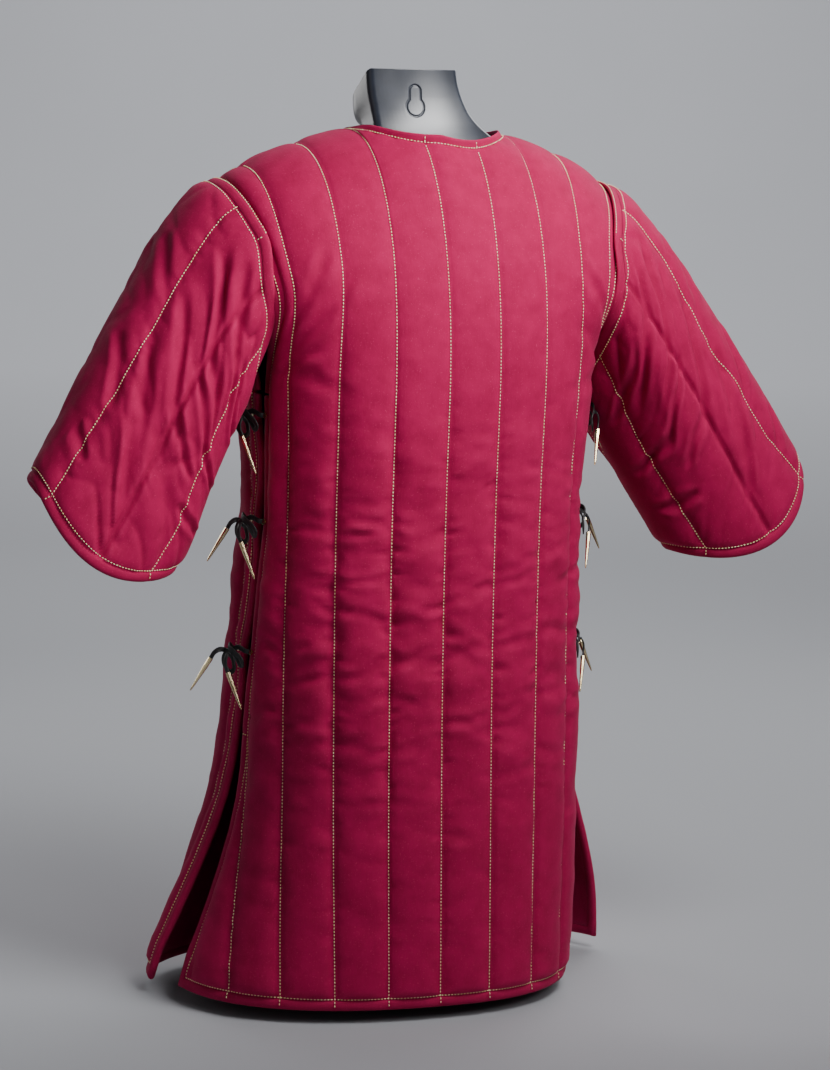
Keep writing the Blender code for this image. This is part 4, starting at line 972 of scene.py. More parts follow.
def column_line(panel, lateral, first=0, last=None):
    """Outer surface along one cloth distance, where the panel reaches it."""
    points, normals = [], []
    for row in range(first, last or panel.outer.shape[0]):
        steps = panel.laterals[row]
        middle = panel.inner[row, len(steps) // 2, 2]
        at = lateral + float(line_shift(lateral, middle))
        if not steps[0] + 0.002 < at < steps[-1] - 0.002:
            continue
        points.append([np.interp(at, steps, panel.outer[row, :, i]) for i in range(3)])
        normals.append([np.interp(at, steps, panel.normals[row, :, i]) for i in range(3)])
    return np.array(points), np.array(normals)


def quilt_laterals():
    return [CENTRE_DRIFT + QUILT_PITCH * (k + 0.5) for k in range(-QUILT_LINES // 2, QUILT_LINES // 2)]


def panel_stitches(panel):
    lines = [column_line(panel, lateral) for lateral in quilt_laterals()]
    for column in (0, -1):
        inner = 1 if column == 0 else -2
        shown = panel.inner[:, column, 2] < LAPPED_FROM_Z
        rim = (panel.outer[shown, column] + panel.outer[shown, inner]) / 2.0
        lines.append((rim, panel.normals[shown, column]))
    lines.append(((panel.outer[0] + panel.outer[1]) / 2.0, panel.normals[0]))
    inside = panel.neck_columns()
    rim = (panel.outer[-1, inside] + panel.outer[-2, inside]) / 2.0
    for _ in range(RING_EASING):
        rim[1:-1] = (rim[:-2] + rim[1:-1] * 2.0 + rim[2:]) / 4.0
    lines.append((rim + panel.normals[-1, inside] * STITCH_RAISED, panel.normals[-1, inside]))
    return [line for line in lines if len(line[0]) > 4]


def tick_lines(rings, points, ticks):
    """Stitches that go on across a roll where a quilting line meets it."""
    lines = []
    for tick in ticks:
        away = np.linalg.norm(points - tick, axis=1)
        row = int(np.argmin(away))
        if away[row] < 0.010:
            centre = rings[row].mean(axis=0)
            path = rings[row, ROLL_SIDES // 2:0:-1]
            lines.append((path + unit(path - centre) * STITCH_RAISED, unit(path - centre)))
    return lines


def panel_ticks(panel):
    """Where the quilting lines start and end on a panel's rim."""
    ticks = []
    for lateral in quilt_laterals():
        reached = [row for row in range(len(panel.inner))
                   if panel.laterals[row, 0] + 0.002 < lateral < panel.laterals[row, -1] - 0.002]
        for row in (reached[0], reached[-1]) if reached else ():
            ticks.append([np.interp(lateral, panel.laterals[row], panel.inner[row, :, i])
                          for i in range(3)])
    return np.array(ticks)


def sleeve_stitches(sleeve, head, cuff):
    """The two quilting lines, both rims, and the second line over the shoulder with its cross ends."""
    lines = [sleeve.along(degrees) for name, degrees in sleeve.lines() if name != "seam"]
    for row in (1, -2):
        closed = np.concatenate([sleeve.outer[row], sleeve.outer[row, :1]])
        lines.append((closed, np.concatenate([sleeve.normals[row], sleeve.normals[row, :1]])))
    lines += tick_lines(cuff, sleeve.inner[-1], sleeve_ticks(sleeve))
    half = SLEEVE_RING // 2
    ends = [next(i for i in range(half) if head[-i if front else i, 0, 2] < HEAD_LINE_END_Z)
            for front in (False, True)]
    rows = np.arange(-ends[1], ends[0] + 1)
    top = ROLL_SIDES // 4
    path = head[rows, top - 2] * 0.7 + head[rows, top - 1] * 0.3
    centres = head[rows].mean(axis=1)
    lines.append((path, unit(path - centres)))
    for row in (rows[0], rows[-1]):
        across = head[row, ROLL_SIDES // 2 + 1:top - 2:-1]
        outward = unit(across - head[row].mean(axis=0))
        lines.append((across + outward * STITCH_RAISED, outward))
    return lines


def sleeve_ticks(sleeve):
    ticks = []
    for name, degrees in sleeve.lines():
        if name != "seam":
            at = int(round(degrees[-1] % 360.0 / 360.0 * SLEEVE_RING)) % SLEEVE_RING
            ticks.append(sleeve.inner[-1, at])
    return np.array(ticks)


# Dress form

FORM_COLUMNS = ("z", "left", "right", "middle", "back", "front", "power")
FORM_SECTIONS = (
    (0.000, 0.140, 0.140, 0.005, 0.100, -0.085, 2.4),
    (0.080, 0.158, 0.158, 0.005, 0.118, -0.100, 2.4),
    (0.200, 0.162, 0.162, 0.005, 0.130, -0.108, 2.4),
    (0.340, 0.154, 0.154, 0.008, 0.122, -0.100, 2.4),
    (0.460, 0.152, 0.152, 0.010, 0.128, -0.104, 2.4),
    (0.560, 0.157, 0.157, 0.014, 0.144, -0.112, 2.4),
    (0.660, 0.168, 0.174, 0.016, 0.152, -0.114, 2.4),
)
FORM_SHOULDER_LEFT = 0.212
FORM_SHOULDER_RIGHT = 0.218
FORM_SHOULDER_CLEARANCE = 0.0010
FORM_NECK_CLEARANCE = 0.0035
FORM_SIDE_STEPS = 40
FORM_ROWS = 60
FORM_YOKE_ROWS = 40
NECK_SECTIONS = (
    (0.870, -0.1500, 0.0760, 0.0900, 0.030, 0.060),
    (0.905, -0.1180, 0.0660, 0.0760, 0.030, 0.060),
    (0.922, -0.0950, 0.0600, 0.0680, 0.032, 0.056),
    (0.934, -0.0790, 0.0570, 0.0600, 0.034, 0.054),
    (0.948, -0.0610, 0.0565, 0.0530, 0.038, 0.052),
    (0.962, -0.0525, 0.0580, 0.0485, 0.044, 0.050),
    (0.977, -0.0470, 0.0605, 0.0460, 0.046, 0.048),
    (0.990, -0.0425, 0.0625, 0.0445, 0.046, 0.046),
    (1.006, -0.0395, 0.0630, 0.0440, 0.046, 0.044),
)
NECK_CORNER = 0.0060
NECK_BULGE = 0.0085
NECK_TOP_FALL = 0.62
NECK_LOW_ROWS = 36
NECK_HIGH_ROWS = 100
NECK_HIGH_FROM = 0.942
NECK_AROUND = 260
NECK_CROWD = 0.62
KEYHOLE_X = 0.0125
KEYHOLE_Z = 0.966
KEYHOLE_RADIUS = 0.0098
KEYHOLE_SLOT_RADIUS = 0.0064
KEYHOLE_RISE = 0.0165
KEYHOLE_DEPTH = 0.0014
KEYHOLE_GROOVE = 0.0007


def form_base(fraction, side, height):
    turn = np.abs(fraction) * math.pi / 2.0
    left = table_value(FORM_SECTIONS, FORM_COLUMNS, "left", height)
    right = table_value(FORM_SECTIONS, FORM_COLUMNS, "right", height)
    wide = np.where(fraction > 0.0, left, right)
    back = table_value(FORM_SECTIONS, FORM_COLUMNS, "back", height)
    front = table_value(FORM_SECTIONS, FORM_COLUMNS, "front", height)
    middle = table_value(FORM_SECTIONS, FORM_COLUMNS, "middle", height)
    power = 2.0 / table_value(FORM_SECTIONS, FORM_COLUMNS, "power", height)
    deep = np.where(side > 0.0, back, front)
    x = np.sign(fraction) * wide * np.sin(turn) ** power
    y = middle + (deep - middle) * np.maximum(np.cos(turn), 0.0) ** power
    return np.stack([x, y, np.full_like(x, height)], axis=1)


def form_yoke(fraction, side, rise):
    base = form_base(fraction, side, ARMPIT_Z)
    top_x = np.where(fraction > 0.0, FORM_SHOULDER_LEFT, FORM_SHOULDER_RIGHT) * fraction
    turn = rise * math.pi / 2.0
    power = 2.0 / SHOULDER_POWER
    near_neck = 1.0 - smoothstep((np.abs(top_x - NECK_DRIFT) - 0.10) / 0.05)
    clearance = FORM_SHOULDER_CLEARANCE + (FORM_NECK_CLEARANCE - FORM_SHOULDER_CLEARANCE) * near_neck
    top_z = ridge_height(top_x) - clearance
    x = base[:, 0] + (top_x - base[:, 0]) * smoothstep(rise)
    y = RIDGE_Y + (base[:, 1] - RIDGE_Y) * max(math.cos(turn), 0.0) ** power
    return np.stack([x, y, ARMPIT_Z + (top_z - ARMPIT_Z) * math.sin(turn) ** power], axis=1)


def form_mesh():
    """The torso's rings up to the shoulder line, and the neck with its keyhole mark."""
    one = np.linspace(1.0, -1.0, 2 * FORM_SIDE_STEPS + 1)
    fraction = np.concatenate([one, one[-2:0:-1]])
    side = np.concatenate([np.ones(len(one)), -np.ones(len(one) - 2)])
    rings = [form_base(fraction, side, z) for z in np.linspace(0.0, ARMPIT_Z, FORM_ROWS)[:-1]]
    rings += [form_yoke(fraction, side, r) for r in np.linspace(0.0, 1.0, FORM_YOKE_ROWS)]
    rings = np.array(rings)
    rows, around = rings.shape[:2]
    torso = rings.reshape(-1, 3)
    torso_quads = face_outward(torso, grid_quads(rows, around, 0, True))
    neck = neck_rings()
    flat = neck.reshape(-1, 3)
    neck_quads = face_outward(flat, grid_quads(len(neck), neck.shape[1], 0, True))
    points = np.concatenate([torso, flat])
    quads = np.concatenate([torso_quads, neck_quads + len(torso)])
    first = len(torso)
    base = list(range(around))[::-1]
    foot = [first + j for j in range(neck.shape[1])][::-1]
    top = [first + (len(neck) - 1) * neck.shape[1] + j for j in range(neck.shape[1])]
    return points, quads, [base, foot, top]


def neck_outline(right, left, back, side, front):
    """Flat back and sides with rounded corners, then a half round front."""
    turn = np.linspace(0.0, math.pi / 2.0, 9)
    corner = NECK_CORNER
    middle = (left + right) / 2.0
    half = (left - right) / 2.0
    left_corner = np.stack([left - corner + corner * np.sin(turn),
                            back - corner + corner * np.cos(turn)], 1)
    right_corner = np.stack([right + corner - corner * np.cos(turn),
                             back - corner + corner * np.sin(turn)], 1)
    sweep = np.linspace(0.0, math.pi, 33)
    around = np.stack([middle + half * np.cos(sweep), back - side - front * np.sin(sweep)], 1)
    flat = np.linspace(middle, left - corner, 12)[:-1]
    backs = [np.stack([x, np.full(len(x), back)], 1) for x in (flat, (2.0 * middle - flat)[::-1])]
    outline = np.concatenate([backs[0], left_corner, around, right_corner, backs[1]])
    at_back = outline[:, 1] > back - 2.0 * corner
    outline[:, 1] -= NECK_BULGE * ((outline[:, 0] - middle) / half) ** 2 * at_back
    length = np.concatenate([[0.0], np.cumsum(np.hypot(*np.diff(outline, axis=0).T))])
    even = np.linspace(0.0, 1.0, NECK_AROUND + 1)[:-1]
    at = length[-1] * (even - NECK_CROWD * np.sin(2.0 * math.pi * even) / (2.0 * math.pi))
    return np.interp(at, length, outline[:, 0]), np.interp(at, length, outline[:, 1])


def neck_rings():
    """The neck from its foot to its top, which slopes down toward the front."""
    table = np.array(NECK_SECTIONS)
    top = table[-1, 0]
    rings = []
    heights = np.concatenate([np.linspace(table[0, 0], NECK_HIGH_FROM, NECK_LOW_ROWS)[:-1],
                              np.linspace(NECK_HIGH_FROM, top, NECK_HIGH_ROWS)])
    for z in heights:
        near = np.clip(z + np.linspace(-0.014, 0.014, 9), table[0, 0], top)
        sizes = [float(np.mean(np.interp(near, table[:, 0], table[:, i]))) for i in range(1, 6)]
        x, y = neck_outline(*sizes)
        y = y - np.where(y > sizes[2] - 0.004, keyhole_depth(x, z), 0.0)
        lowest = top - NECK_TOP_FALL * np.maximum(sizes[2] - NECK_BULGE - y, 0.0)
        fall = (top - lowest) * smoothstep((z - 0.925) / (top - 0.925))
        rings.append(np.stack([x, y, z - fall], axis=1))
    last = rings[-1]
    centre = last.mean(axis=0)
    for inset in (0.97, 0.80, 0.40, 0.02):
        ring = centre + (last - centre) * inset
        ring[:, 2] = top - NECK_TOP_FALL * np.maximum(table[-1, 3] - NECK_BULGE - ring[:, 1], 0.0)
        rings.append(ring)
    return np.array(rings)


def keyhole_depth(x, z):
    """A narrow groove along the keyhole's outline, its inside level with the neck."""
    along, up = x - KEYHOLE_X, z - KEYHOLE_Z
    foot = np.hypot(along, up) - KEYHOLE_RADIUS
    slot = np.hypot(along, up - np.clip(up, 0.0, KEYHOLE_RISE)) - KEYHOLE_SLOT_RADIUS
    away = np.minimum(foot, slot)
    return KEYHOLE_DEPTH * np.exp(-(away / KEYHOLE_GROOVE) ** 2)


# Side ties, on the same routes as their solids

LACE_STEP = 0.0070
LACE_SHIFT_FROM = 0.016
LACE_SHIFT_OVER = 0.010
LACE_STARTS = (0.0026, 0.0055)
LACE_WIDTH = 0.0056
LACE_THICKNESS = 0.0018
ROLL_GAP = 0.0006
FRONT_LACE_ROUTE = (
    (0.0125, -0.0105, 0.0048),
    (0.0170, -0.0050, 0.0055),
    (0.0180, 0.0020, 0.0030),
    (0.0150, 0.0090, -0.0010),
    (0.0110, 0.0150, -0.0060),
    (0.0085, 0.0165, -0.0120),
    (0.0090, 0.0115, -0.0150),
    (0.0100, 0.0050, -0.0110),
    (0.0110, -0.0010, -0.0065),
    (0.0120, -0.0070, -0.0045),
    (0.0170, -0.0125, -0.0015),
    (0.0225, -0.0155, -0.0010),
    (0.0265, -0.0170, -0.0050),
    (0.0290, -0.0182, -0.0100),
)
BACK_LACE_ROUTE = (
    (0.0090, 0.0030, 0.0040),
    (0.0120, -0.0020, 0.0010),
    (0.0155, -0.0065, -0.0005),
    (0.0200, -0.0095, -0.0040),
    (0.0220, -0.0090, -0.0120),
    (0.0205, -0.0040, -0.0190),
    (0.0175, 0.0020, -0.0230),
    (0.0150, 0.0065, -0.0190),
    (0.0150, 0.0050, -0.0120),
    (0.0165, 0.0020, -0.0060),
    (0.0200, 0.0020, -0.0030),
    (0.0235, 0.0030, -0.0075),
    (0.0235, 0.0035, -0.0160),
    (0.0218, 0.0063, -0.0225),
)


class Tie:
    """One side tie, in a frame that runs outward, toward the back and up."""

    def __init__(self, back, front, left, row):
        height = row[0]
        self.name = "left" if left else "right"
        column = -1 if left else 0
        self.holes = [self.hole(panel, column, height) for panel in (front, back)]
        self.middle = (self.holes[0][0] + self.holes[1][0]) / 2.0
        self.out = np.array([1.0 if left else -1.0, 0.0, 0.0])
        self.shift = row[TIE_COLUMNS.index(self.name + "_out")]

    def hole(self, panel, column, height):
        points, aways, normals = panel.edge(np.arange(COARSE["body_rows"]), column)
        share = [np.interp(height, points[:, 2], part[:, i])
                 for part in (points, aways, normals) for i in range(3)]
        point, away, normal = np.array(share[:3]), unit(np.array(share[3:6])), unit(np.array(share[6:]))
        lift = WALL_AT_EDGE / 2.0 + BINDING_THICKNESS / 2.0
        reach = ROLL_GAP + (BINDING_WIDTH - ROLL_GAP) / 2.0
        return point + away * reach + normal * lift, normal

    def place(self, route, shift):
        points = []
        for out_size, back_size, up_size in route:
            eased = smoothstep((out_size - LACE_SHIFT_FROM) / LACE_SHIFT_OVER)
            out = out_size + shift * float(eased)
            points.append(self.middle + self.out * out + np.array([0.0, back_size, up_size]))
        return np.array(points)

    def route(self, part):
        hole = self.holes[0 if part == "front" else 1]
        table = FRONT_LACE_ROUTE if part == "front" else BACK_LACE_ROUTE
        first = [hole[0] + hole[1] * height for height in LACE_STARTS]
        shift = self.shift if part == "front" else 0.0
        return hole, smooth_line(np.concatenate([first, self.place(table, shift)]), LACE_STEP)


def strap(path, outward):
    """Flat strap along a path: its face keeps turned outward as far as the path allows."""
    fine = smooth_line(path, 0.0012)
    along = unit(np.gradient(fine, axis=0))
    face = unit(outward - along * np.sum(along * outward, axis=1, keepdims=True))
    side = np.cross(along, face)
    turn = np.arange(12) * 2.0 * math.pi / 12
    wide = np.sign(np.cos(turn)) * np.abs(np.cos(turn)) ** 0.45 * LACE_WIDTH / 2.0
    deep = np.sign(np.sin(turn)) * np.abs(np.sin(turn)) ** 0.6 * LACE_THICKNESS / 2.0
    rings = fine[:, None] + side[:, None] * wide[None, :, None] + face[:, None] * deep[None, :, None]
    points = rings.reshape(-1, 3)
    quads = grid_quads(len(fine), 12, 0, True)
    outward_quads = face_outward(points, quads)
    ends = [list(range(12))[::-1], [(len(fine) - 1) * 12 + j for j in range(12)]]
    if not np.array_equal(outward_quads, quads):
        ends = [end[::-1] for end in ends]
    length = running_length(fine)
    uv = np.stack(np.broadcast_arrays(turn[None, :] * 0.0025, length[:, None]), axis=-1).reshape(-1, 2)
    return points, outward_quads, ends, uv


def add_ties(back, front, leather):
    for left in (True, False):
        for number, row in enumerate(TIES, start=1):
            tie = Tie(back, front, left, row)
            for part in ("front", "back"):
                stem = f"{tie.name}_tie_{number}_{part}"
                hole, path = tie.route(part)
                points, quads, ends, uv = strap(path, tie.out + np.array([0.0, 0.35, 0.0]))
                lace = add_piece(stem + "_strap", points, quads, leather, uv, ends)
                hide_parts(stem + "_lace")


# Materials

class Nodes:
    """Short way to wire a material's nodes."""

    def __init__(self, name):
        self.material = bpy.data.materials.new(name)
        self.material.use_nodes = True
        self.tree = self.material.node_tree
        self.shader = self.tree.nodes["Principled BSDF"]

    def node(self, kind, inputs=(), **settings):
        item = self.tree.nodes.new(kind)
        for key, value in settings.items():
            setattr(item, key, value)
        for key, value in inputs:
            if hasattr(value, "is_output"):
                self.tree.links.new(value, item.inputs[key])
            else:
                item.inputs[key].default_value = value
        return item

    def math(self, operation, first, second=0.0):
        return self.node("ShaderNodeMath", ((0, first), (1, second)), operation=operation).outputs[0]

    def mix(self, factor, first, second, blend="MIX"):
        item = self.node("ShaderNodeMix", data_type="RGBA", blend_type=blend)
        for key, value in ((0, factor), (6, first), (7, second)):
            if hasattr(value, "is_output"):
                self.tree.links.new(value, item.inputs[key])
            else:
                item.inputs[key].default_value = value
        return item.outputs[2]

    def noise(self, vector, scale, detail=3.0, roughness=0.5):
        item = self.node("ShaderNodeTexNoise", (("Vector", vector), ("Scale", scale), ("Detail", detail),
                                                ("Roughness", roughness)))
        return item.outputs["Fac"]

    def ramp(self, value, low, high):
        item = self.node("ShaderNodeMapRange", (("Value", value), ("From Min", low), ("From Max", high)),
                         clamp=True)
        return item.outputs["Result"]

    def bump(self, height, strength, distance, normal=None):
        inputs = [("Height", height), ("Strength", strength), ("Distance", distance)]
        if normal is not None:
            inputs.append(("Normal", normal))
        return self.node("ShaderNodeBump", inputs).outputs["Normal"]

    def place(self):
        return self.node("ShaderNodeTexCoord").outputs["Object"]

    def cloth(self):
        return self.node("ShaderNodeUVMap", uv_map="cloth").outputs["UV"]

    def set(self, **values):
        names = {"colour": "Base Color", "roughness": "Roughness", "normal": "Normal",
                 "metallic": "Metallic", "specular": "Specular IOR Level",
                 "sheen": "Sheen Weight", "sheen_roughness": "Sheen Roughness",
                 "sheen_tint": "Sheen Tint", "coat": "Coat Weight", "coat_roughness": "Coat Roughness"}
        for key, value in values.items():
            socket = self.shader.inputs[names[key]]
            if hasattr(value, "is_output"):
                self.tree.links.new(value, socket)
            else:
                socket.default_value = value
        return self.material


THREAD_PITCH = 0.00075
CLOTH_DARK = (0.290, 0.0025, 0.0460, 1.0)
CLOTH_LIGHT = (0.430, 0.0045, 0.0760, 1.0)
CLOTH_WORN = (0.560, 0.0260, 0.1200, 1.0)
EDGE_DARK = (0.270, 0.0025, 0.0420, 1.0)
EDGE_LIGHT = (0.400, 0.0045, 0.0690, 1.0)


def cotton(name, dark, light, worn):
    """Plain-woven cotton canvas: crossing threads, slubs, uneven dye, wear on the raised folds and painted
    shade in the hollows.
    """
    n = Nodes(name)
    cloth = n.cloth()
    place = n.place()
    parts = n.node("ShaderNodeSeparateXYZ", ((0, cloth),))
    warp = n.math("SINE", n.math("MULTIPLY", parts.outputs[0], 2.0 * math.pi / THREAD_PITCH))
    weft = n.math("SINE", n.math("MULTIPLY", parts.outputs[1], 2.0 * math.pi / THREAD_PITCH))
    weave = n.math("MULTIPLY", warp, weft)
    slub_scale = n.node("ShaderNodeMapping", (("Vector", cloth), ("Scale", (900.0, 70.0, 1.0)))).outputs[0]
    slubs = n.noise(slub_scale, 1.0, 2.0)
    dye = n.noise(place, 7.0, 4.0, 0.6)
    mottle = n.noise(place, 60.0, 3.0, 0.55)
    fuzz = n.noise(place, 900.0, 2.0, 0.6)
    tone = n.math("ADD", n.math("MULTIPLY", dye, 0.5), n.math("MULTIPLY", mottle, 0.5))
    base = n.mix(n.ramp(tone, 0.30, 0.72), dark, light)
    base = n.mix(n.math("MULTIPLY", n.ramp(slubs, 0.45, 0.80), 0.40), base, light)
    flecks = n.ramp(n.noise(place, 620.0, 1.0, 0.4), 0.66, 0.76)
    base = n.mix(n.math("MULTIPLY", flecks, 0.55), base, worn)
    geometry = n.node("ShaderNodeNewGeometry")
    raised = n.ramp(geometry.outputs["Pointiness"], 0.505, 0.56)
    wear = n.math("MULTIPLY", raised, n.ramp(fuzz, 0.25, 0.75))
    base = n.mix(n.math("MULTIPLY", wear, 0.55), base, worn)
    # Painted shade: the concave hollows along the stitched lines and creases are darkened toward half the
    # dark tone.
    painted_hollow_shade = n.ramp(geometry.outputs["Pointiness"], 0.495, 0.44)
    base = n.mix(n.math("MULTIPLY", painted_hollow_shade, 0.45), base, tuple(0.5 * v for v in dark[:3]) + (1.0,))
    height = n.math("ADD", n.math("MULTIPLY", weave, 0.5), n.math("MULTIPLY", slubs, 0.6))
    normal = n.bump(mottle, 0.25, 0.0012)
    normal = n.bump(n.noise(place, 210.0, 3.0, 0.6), 0.30, 0.0007, normal)
    normal = n.bump(height, 0.50, 0.00014, normal)
    normal = n.bump(fuzz, 0.20, 0.0002, normal)
    roughness = n.math("ADD", n.math("MULTIPLY", fuzz, 0.12), 0.74)
    return n.set(colour=base, roughness=roughness, normal=normal, specular=0.14, sheen=0.10,
                 sheen_roughness=0.40, sheen_tint=(0.90, 0.25, 0.40, 1.0))


def thread(name):
    n = Nodes(name)
    place = n.place()
    grain = n.noise(place, 1800.0, 2.0)
    tone = n.noise(place, 40.0, 2.0)
    base = n.mix(n.ramp(tone, 0.3, 0.7), (0.92, 0.72, 0.34, 1.0), (1.0, 0.90, 0.58, 1.0))
    return n.set(colour=base, roughness=0.55, normal=n.bump(grain, 0.4, 0.0002), sheen=0.2)


def leather(name):
    n = Nodes(name)
    place = n.place()
    cells = n.node("ShaderNodeTexVoronoi", (("Vector", place), ("Scale", 1400.0)), feature="SMOOTH_F1")
    creases = n.noise(place, 260.0, 4.0, 0.6)
    base = n.mix(n.ramp(creases, 0.35, 0.75), (0.006, 0.006, 0.007, 1.0), (0.028, 0.026, 0.026, 1.0))
    height = n.math("ADD", cells.outputs["Distance"], n.math("MULTIPLY", creases, 0.8))
    roughness = n.math("ADD", n.math("MULTIPLY", creases, 0.25), 0.34)
    return n.set(colour=base, roughness=roughness, normal=n.bump(height, 0.45, 0.0003), specular=0.5)


def brass(name):
    n = Nodes(name)
    place = n.place()
    tarnish = n.noise(place, 90.0, 4.0, 0.6)
    marks = n.noise(place, 700.0, 3.0, 0.6)
    base = n.mix(n.ramp(tarnish, 0.40, 0.72), (0.90, 0.76, 0.46, 1.0), (0.66, 0.48, 0.24, 1.0))
    roughness = n.math("ADD", n.math("MULTIPLY", marks, 0.14), 0.12)
    return n.set(colour=base, roughness=roughness, metallic=1.0, normal=n.bump(marks, 0.2, 0.0002))


def plastic(name):
    """Satin moulded plastic with faint handling marks."""
    n = Nodes(name)
    place = n.place()
    grain = n.noise(place, 1500.0, 2.0)
    marks = n.noise(place, 22.0, 4.0, 0.6)
    base = n.mix(n.ramp(marks, 0.35, 0.7), (0.012, 0.015, 0.024, 1.0), (0.022, 0.027, 0.042, 1.0))
    roughness = n.math("ADD", n.math("MULTIPLY", marks, 0.12), 0.27)
    return n.set(colour=base, roughness=roughness, normal=n.bump(grain, 0.10, 0.0001), specular=0.8)


def plain_floor(name):
    n = Nodes(name)
    place = n.place()
    tone = n.noise(place, 3.0, 3.0)
    base = n.mix(tone, (0.515, 0.525, 0.56, 1.0), (0.545, 0.555, 0.59, 1.0))
    # Painted shade: the flat floor and the foot of the paper's bend are darker grey, reaching the paper's
    # own tone 0.3 m up.
    height = n.node("ShaderNodeSeparateXYZ", ((0, place),)).outputs[2]
    base = n.mix(n.ramp(height, 0.0, 0.3), (0.37, 0.377, 0.40, 1.0), base)
    return n.set(colour=base, roughness=0.85, specular=0.2)


# Camera, floor and light

PAPER_FRONT = 8.0
PAPER_FLAT = 3.4
PAPER_RADIUS = 1.8
PAPER_HEIGHT = 6.0
PAPER_HALF_WIDTH = 8.0

# Lights: toward the camera, to its right, height, aim, size, power, spread in degrees
LIGHTS = (
    ("top", 0.56, 0.60, 1.50, (-0.03, 0.15, 0.86), (0.6, 0.5), 6.6, 100.0),
    ("key", 1.15, 1.50, 1.50, (0.0, 0.10, 0.75), (0.7, 0.8), 9.5, 180.0),
    ("sleeve", 1.10, 0.30, 1.00, (0.36, 0.02, 0.62), (0.3, 0.3), 0.5, 50.0),
    ("fill", 1.60, -2.00, 1.20, (0.0, 0.0, 0.50), (1.2, 1.6), 2.0, 180.0),
    ("rim", -1.40, -1.40, 1.05, (0.06, 0.0, 0.97), (0.8, 0.8), 6.0, 180.0),
    ("front", -1.60, 1.00, 1.70, (0.0, -0.1, 0.50), (1.2, 1.2), 16.0, 180.0),
    ("paper", -2.60, 0.00, 3.60, (-1.70, -4.20, 0.40), (2.4, 1.2), 118.0, 180.0),
)
WORLD_STRENGTH = 0.10


def camera_sides():
    """Level directions toward the camera and to the camera's right."""
    sine, cosine = math.sin(CAMERA_AZIMUTH), math.cos(CAMERA_AZIMUTH)
    return np.array([sine, cosine, 0.0]), np.array([-cosine, sine, 0.0])


def placed(columns):
    """World matrix from its three axes and its place."""
    rows = [[float(column[i]) for column in columns] for i in range(3)]
    return Matrix(rows + [[0.0, 0.0, 0.0, 1.0]])


def add_camera():
    data = bpy.data.cameras.new("camera")
    data.sensor_fit = "VERTICAL"
    data.sensor_height = SENSOR_HEIGHT
    data.lens = LENS
    data.dof.use_dof = False
    camera = bpy.data.objects.new("camera", data)
    bpy.context.collection.objects.link(camera)
    away, right = camera_sides()
    forward = -away * math.cos(CAMERA_PITCH) - np.array([0.0, 0.0, math.sin(CAMERA_PITCH)])
    up = np.cross(right, forward)
    place = away * CAMERA_DISTANCE + right * CAMERA_SIDE_SHIFT
    place[2] = CAMERA_HEIGHT
    rolled_right = right * math.cos(CAMERA_ROLL) + up * math.sin(CAMERA_ROLL)
    rolled_up = up * math.cos(CAMERA_ROLL) - right * math.sin(CAMERA_ROLL)
    columns = (rolled_right, rolled_up, -forward, place)
    camera.matrix_world = placed(columns)
    bpy.context.scene.camera = camera


def add_light(name, place, target, size, power, spread):
    data = bpy.data.lights.new(name, "AREA")
    data.shape = "RECTANGLE"
    data.size, data.size_y = size
    data.energy = power
    data.spread = math.radians(spread)
    lamp = bpy.data.objects.new(name, data)
    lamp.visible_camera = False
    bpy.context.collection.objects.link(lamp)
    away = unit(np.array(place) - np.array(target))
    side = unit(np.cross((0.0, 0.0, 1.0), away))
    columns = (side, np.cross(away, side), away, place)
    lamp.matrix_world = placed(columns)


def add_studio():
    """Pale seamless paper that rises behind the object, a dim even sky and the lights."""
    away, right = camera_sides()
    bend = [(PAPER_RADIUS * math.sin(t), PAPER_RADIUS * (1.0 - math.cos(t)))
            for t in np.linspace(0.0, math.pi / 2.0, 25)]
    profile = [(-PAPER_FRONT, 0.0), (PAPER_FLAT, 0.0)]
    profile += [(PAPER_FLAT + run, rise) for run, rise in bend[1:]]
    profile.append((PAPER_FLAT + PAPER_RADIUS, PAPER_HEIGHT))
    points = [tuple(-away * run + right * side + np.array([0.0, 0.0, rise]))
              for run, rise in profile for side in (-PAPER_HALF_WIDTH, PAPER_HALF_WIDTH)]
    faces = [(2 * i, 2 * i + 1, 2 * i + 3, 2 * i + 2) for i in range(len(profile) - 1)]
    mesh = bpy.data.meshes.new("floor")
    mesh.from_pydata([tuple(float(v) for v in p) for p in points], [], faces)
    mesh.materials.append(plain_floor("floor_paper"))
    mesh.shade_smooth()
    floor = bpy.data.objects.new("floor", mesh)
    bpy.context.collection.objects.link(floor)
    world = bpy.data.worlds.new("studio")
    world.use_nodes = True
    world.node_tree.nodes["Background"].inputs["Color"].default_value = (0.94, 0.97, 1.0, 1.0)
    world.node_tree.nodes["Background"].inputs["Strength"].default_value = WORLD_STRENGTH
    bpy.context.scene.world = world
    for name, near, side, height, aim, size, power, spread in LIGHTS:
        place = away * near + right * side
        place[2] = height
        add_light(name, tuple(place), aim, size, power, spread)


def recolour(material, *nodes):
    for name in nodes:
        for entry in bpy.data.objects[name].material_slots:
            entry.material = material


def add_form(material):
    points, quads, caps = form_mesh()
    form = add_piece("form_body", points, quads, material, None, caps)
    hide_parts("dress_form")


def cloth_uv(panel):
    down = np.stack([running_length(panel.inner[:, j]) for j in range(panel.inner.shape[1])], axis=1)
    one = np.stack([panel.laterals, down], axis=-1).reshape(-1, 2)
    return np.concatenate([one, one])


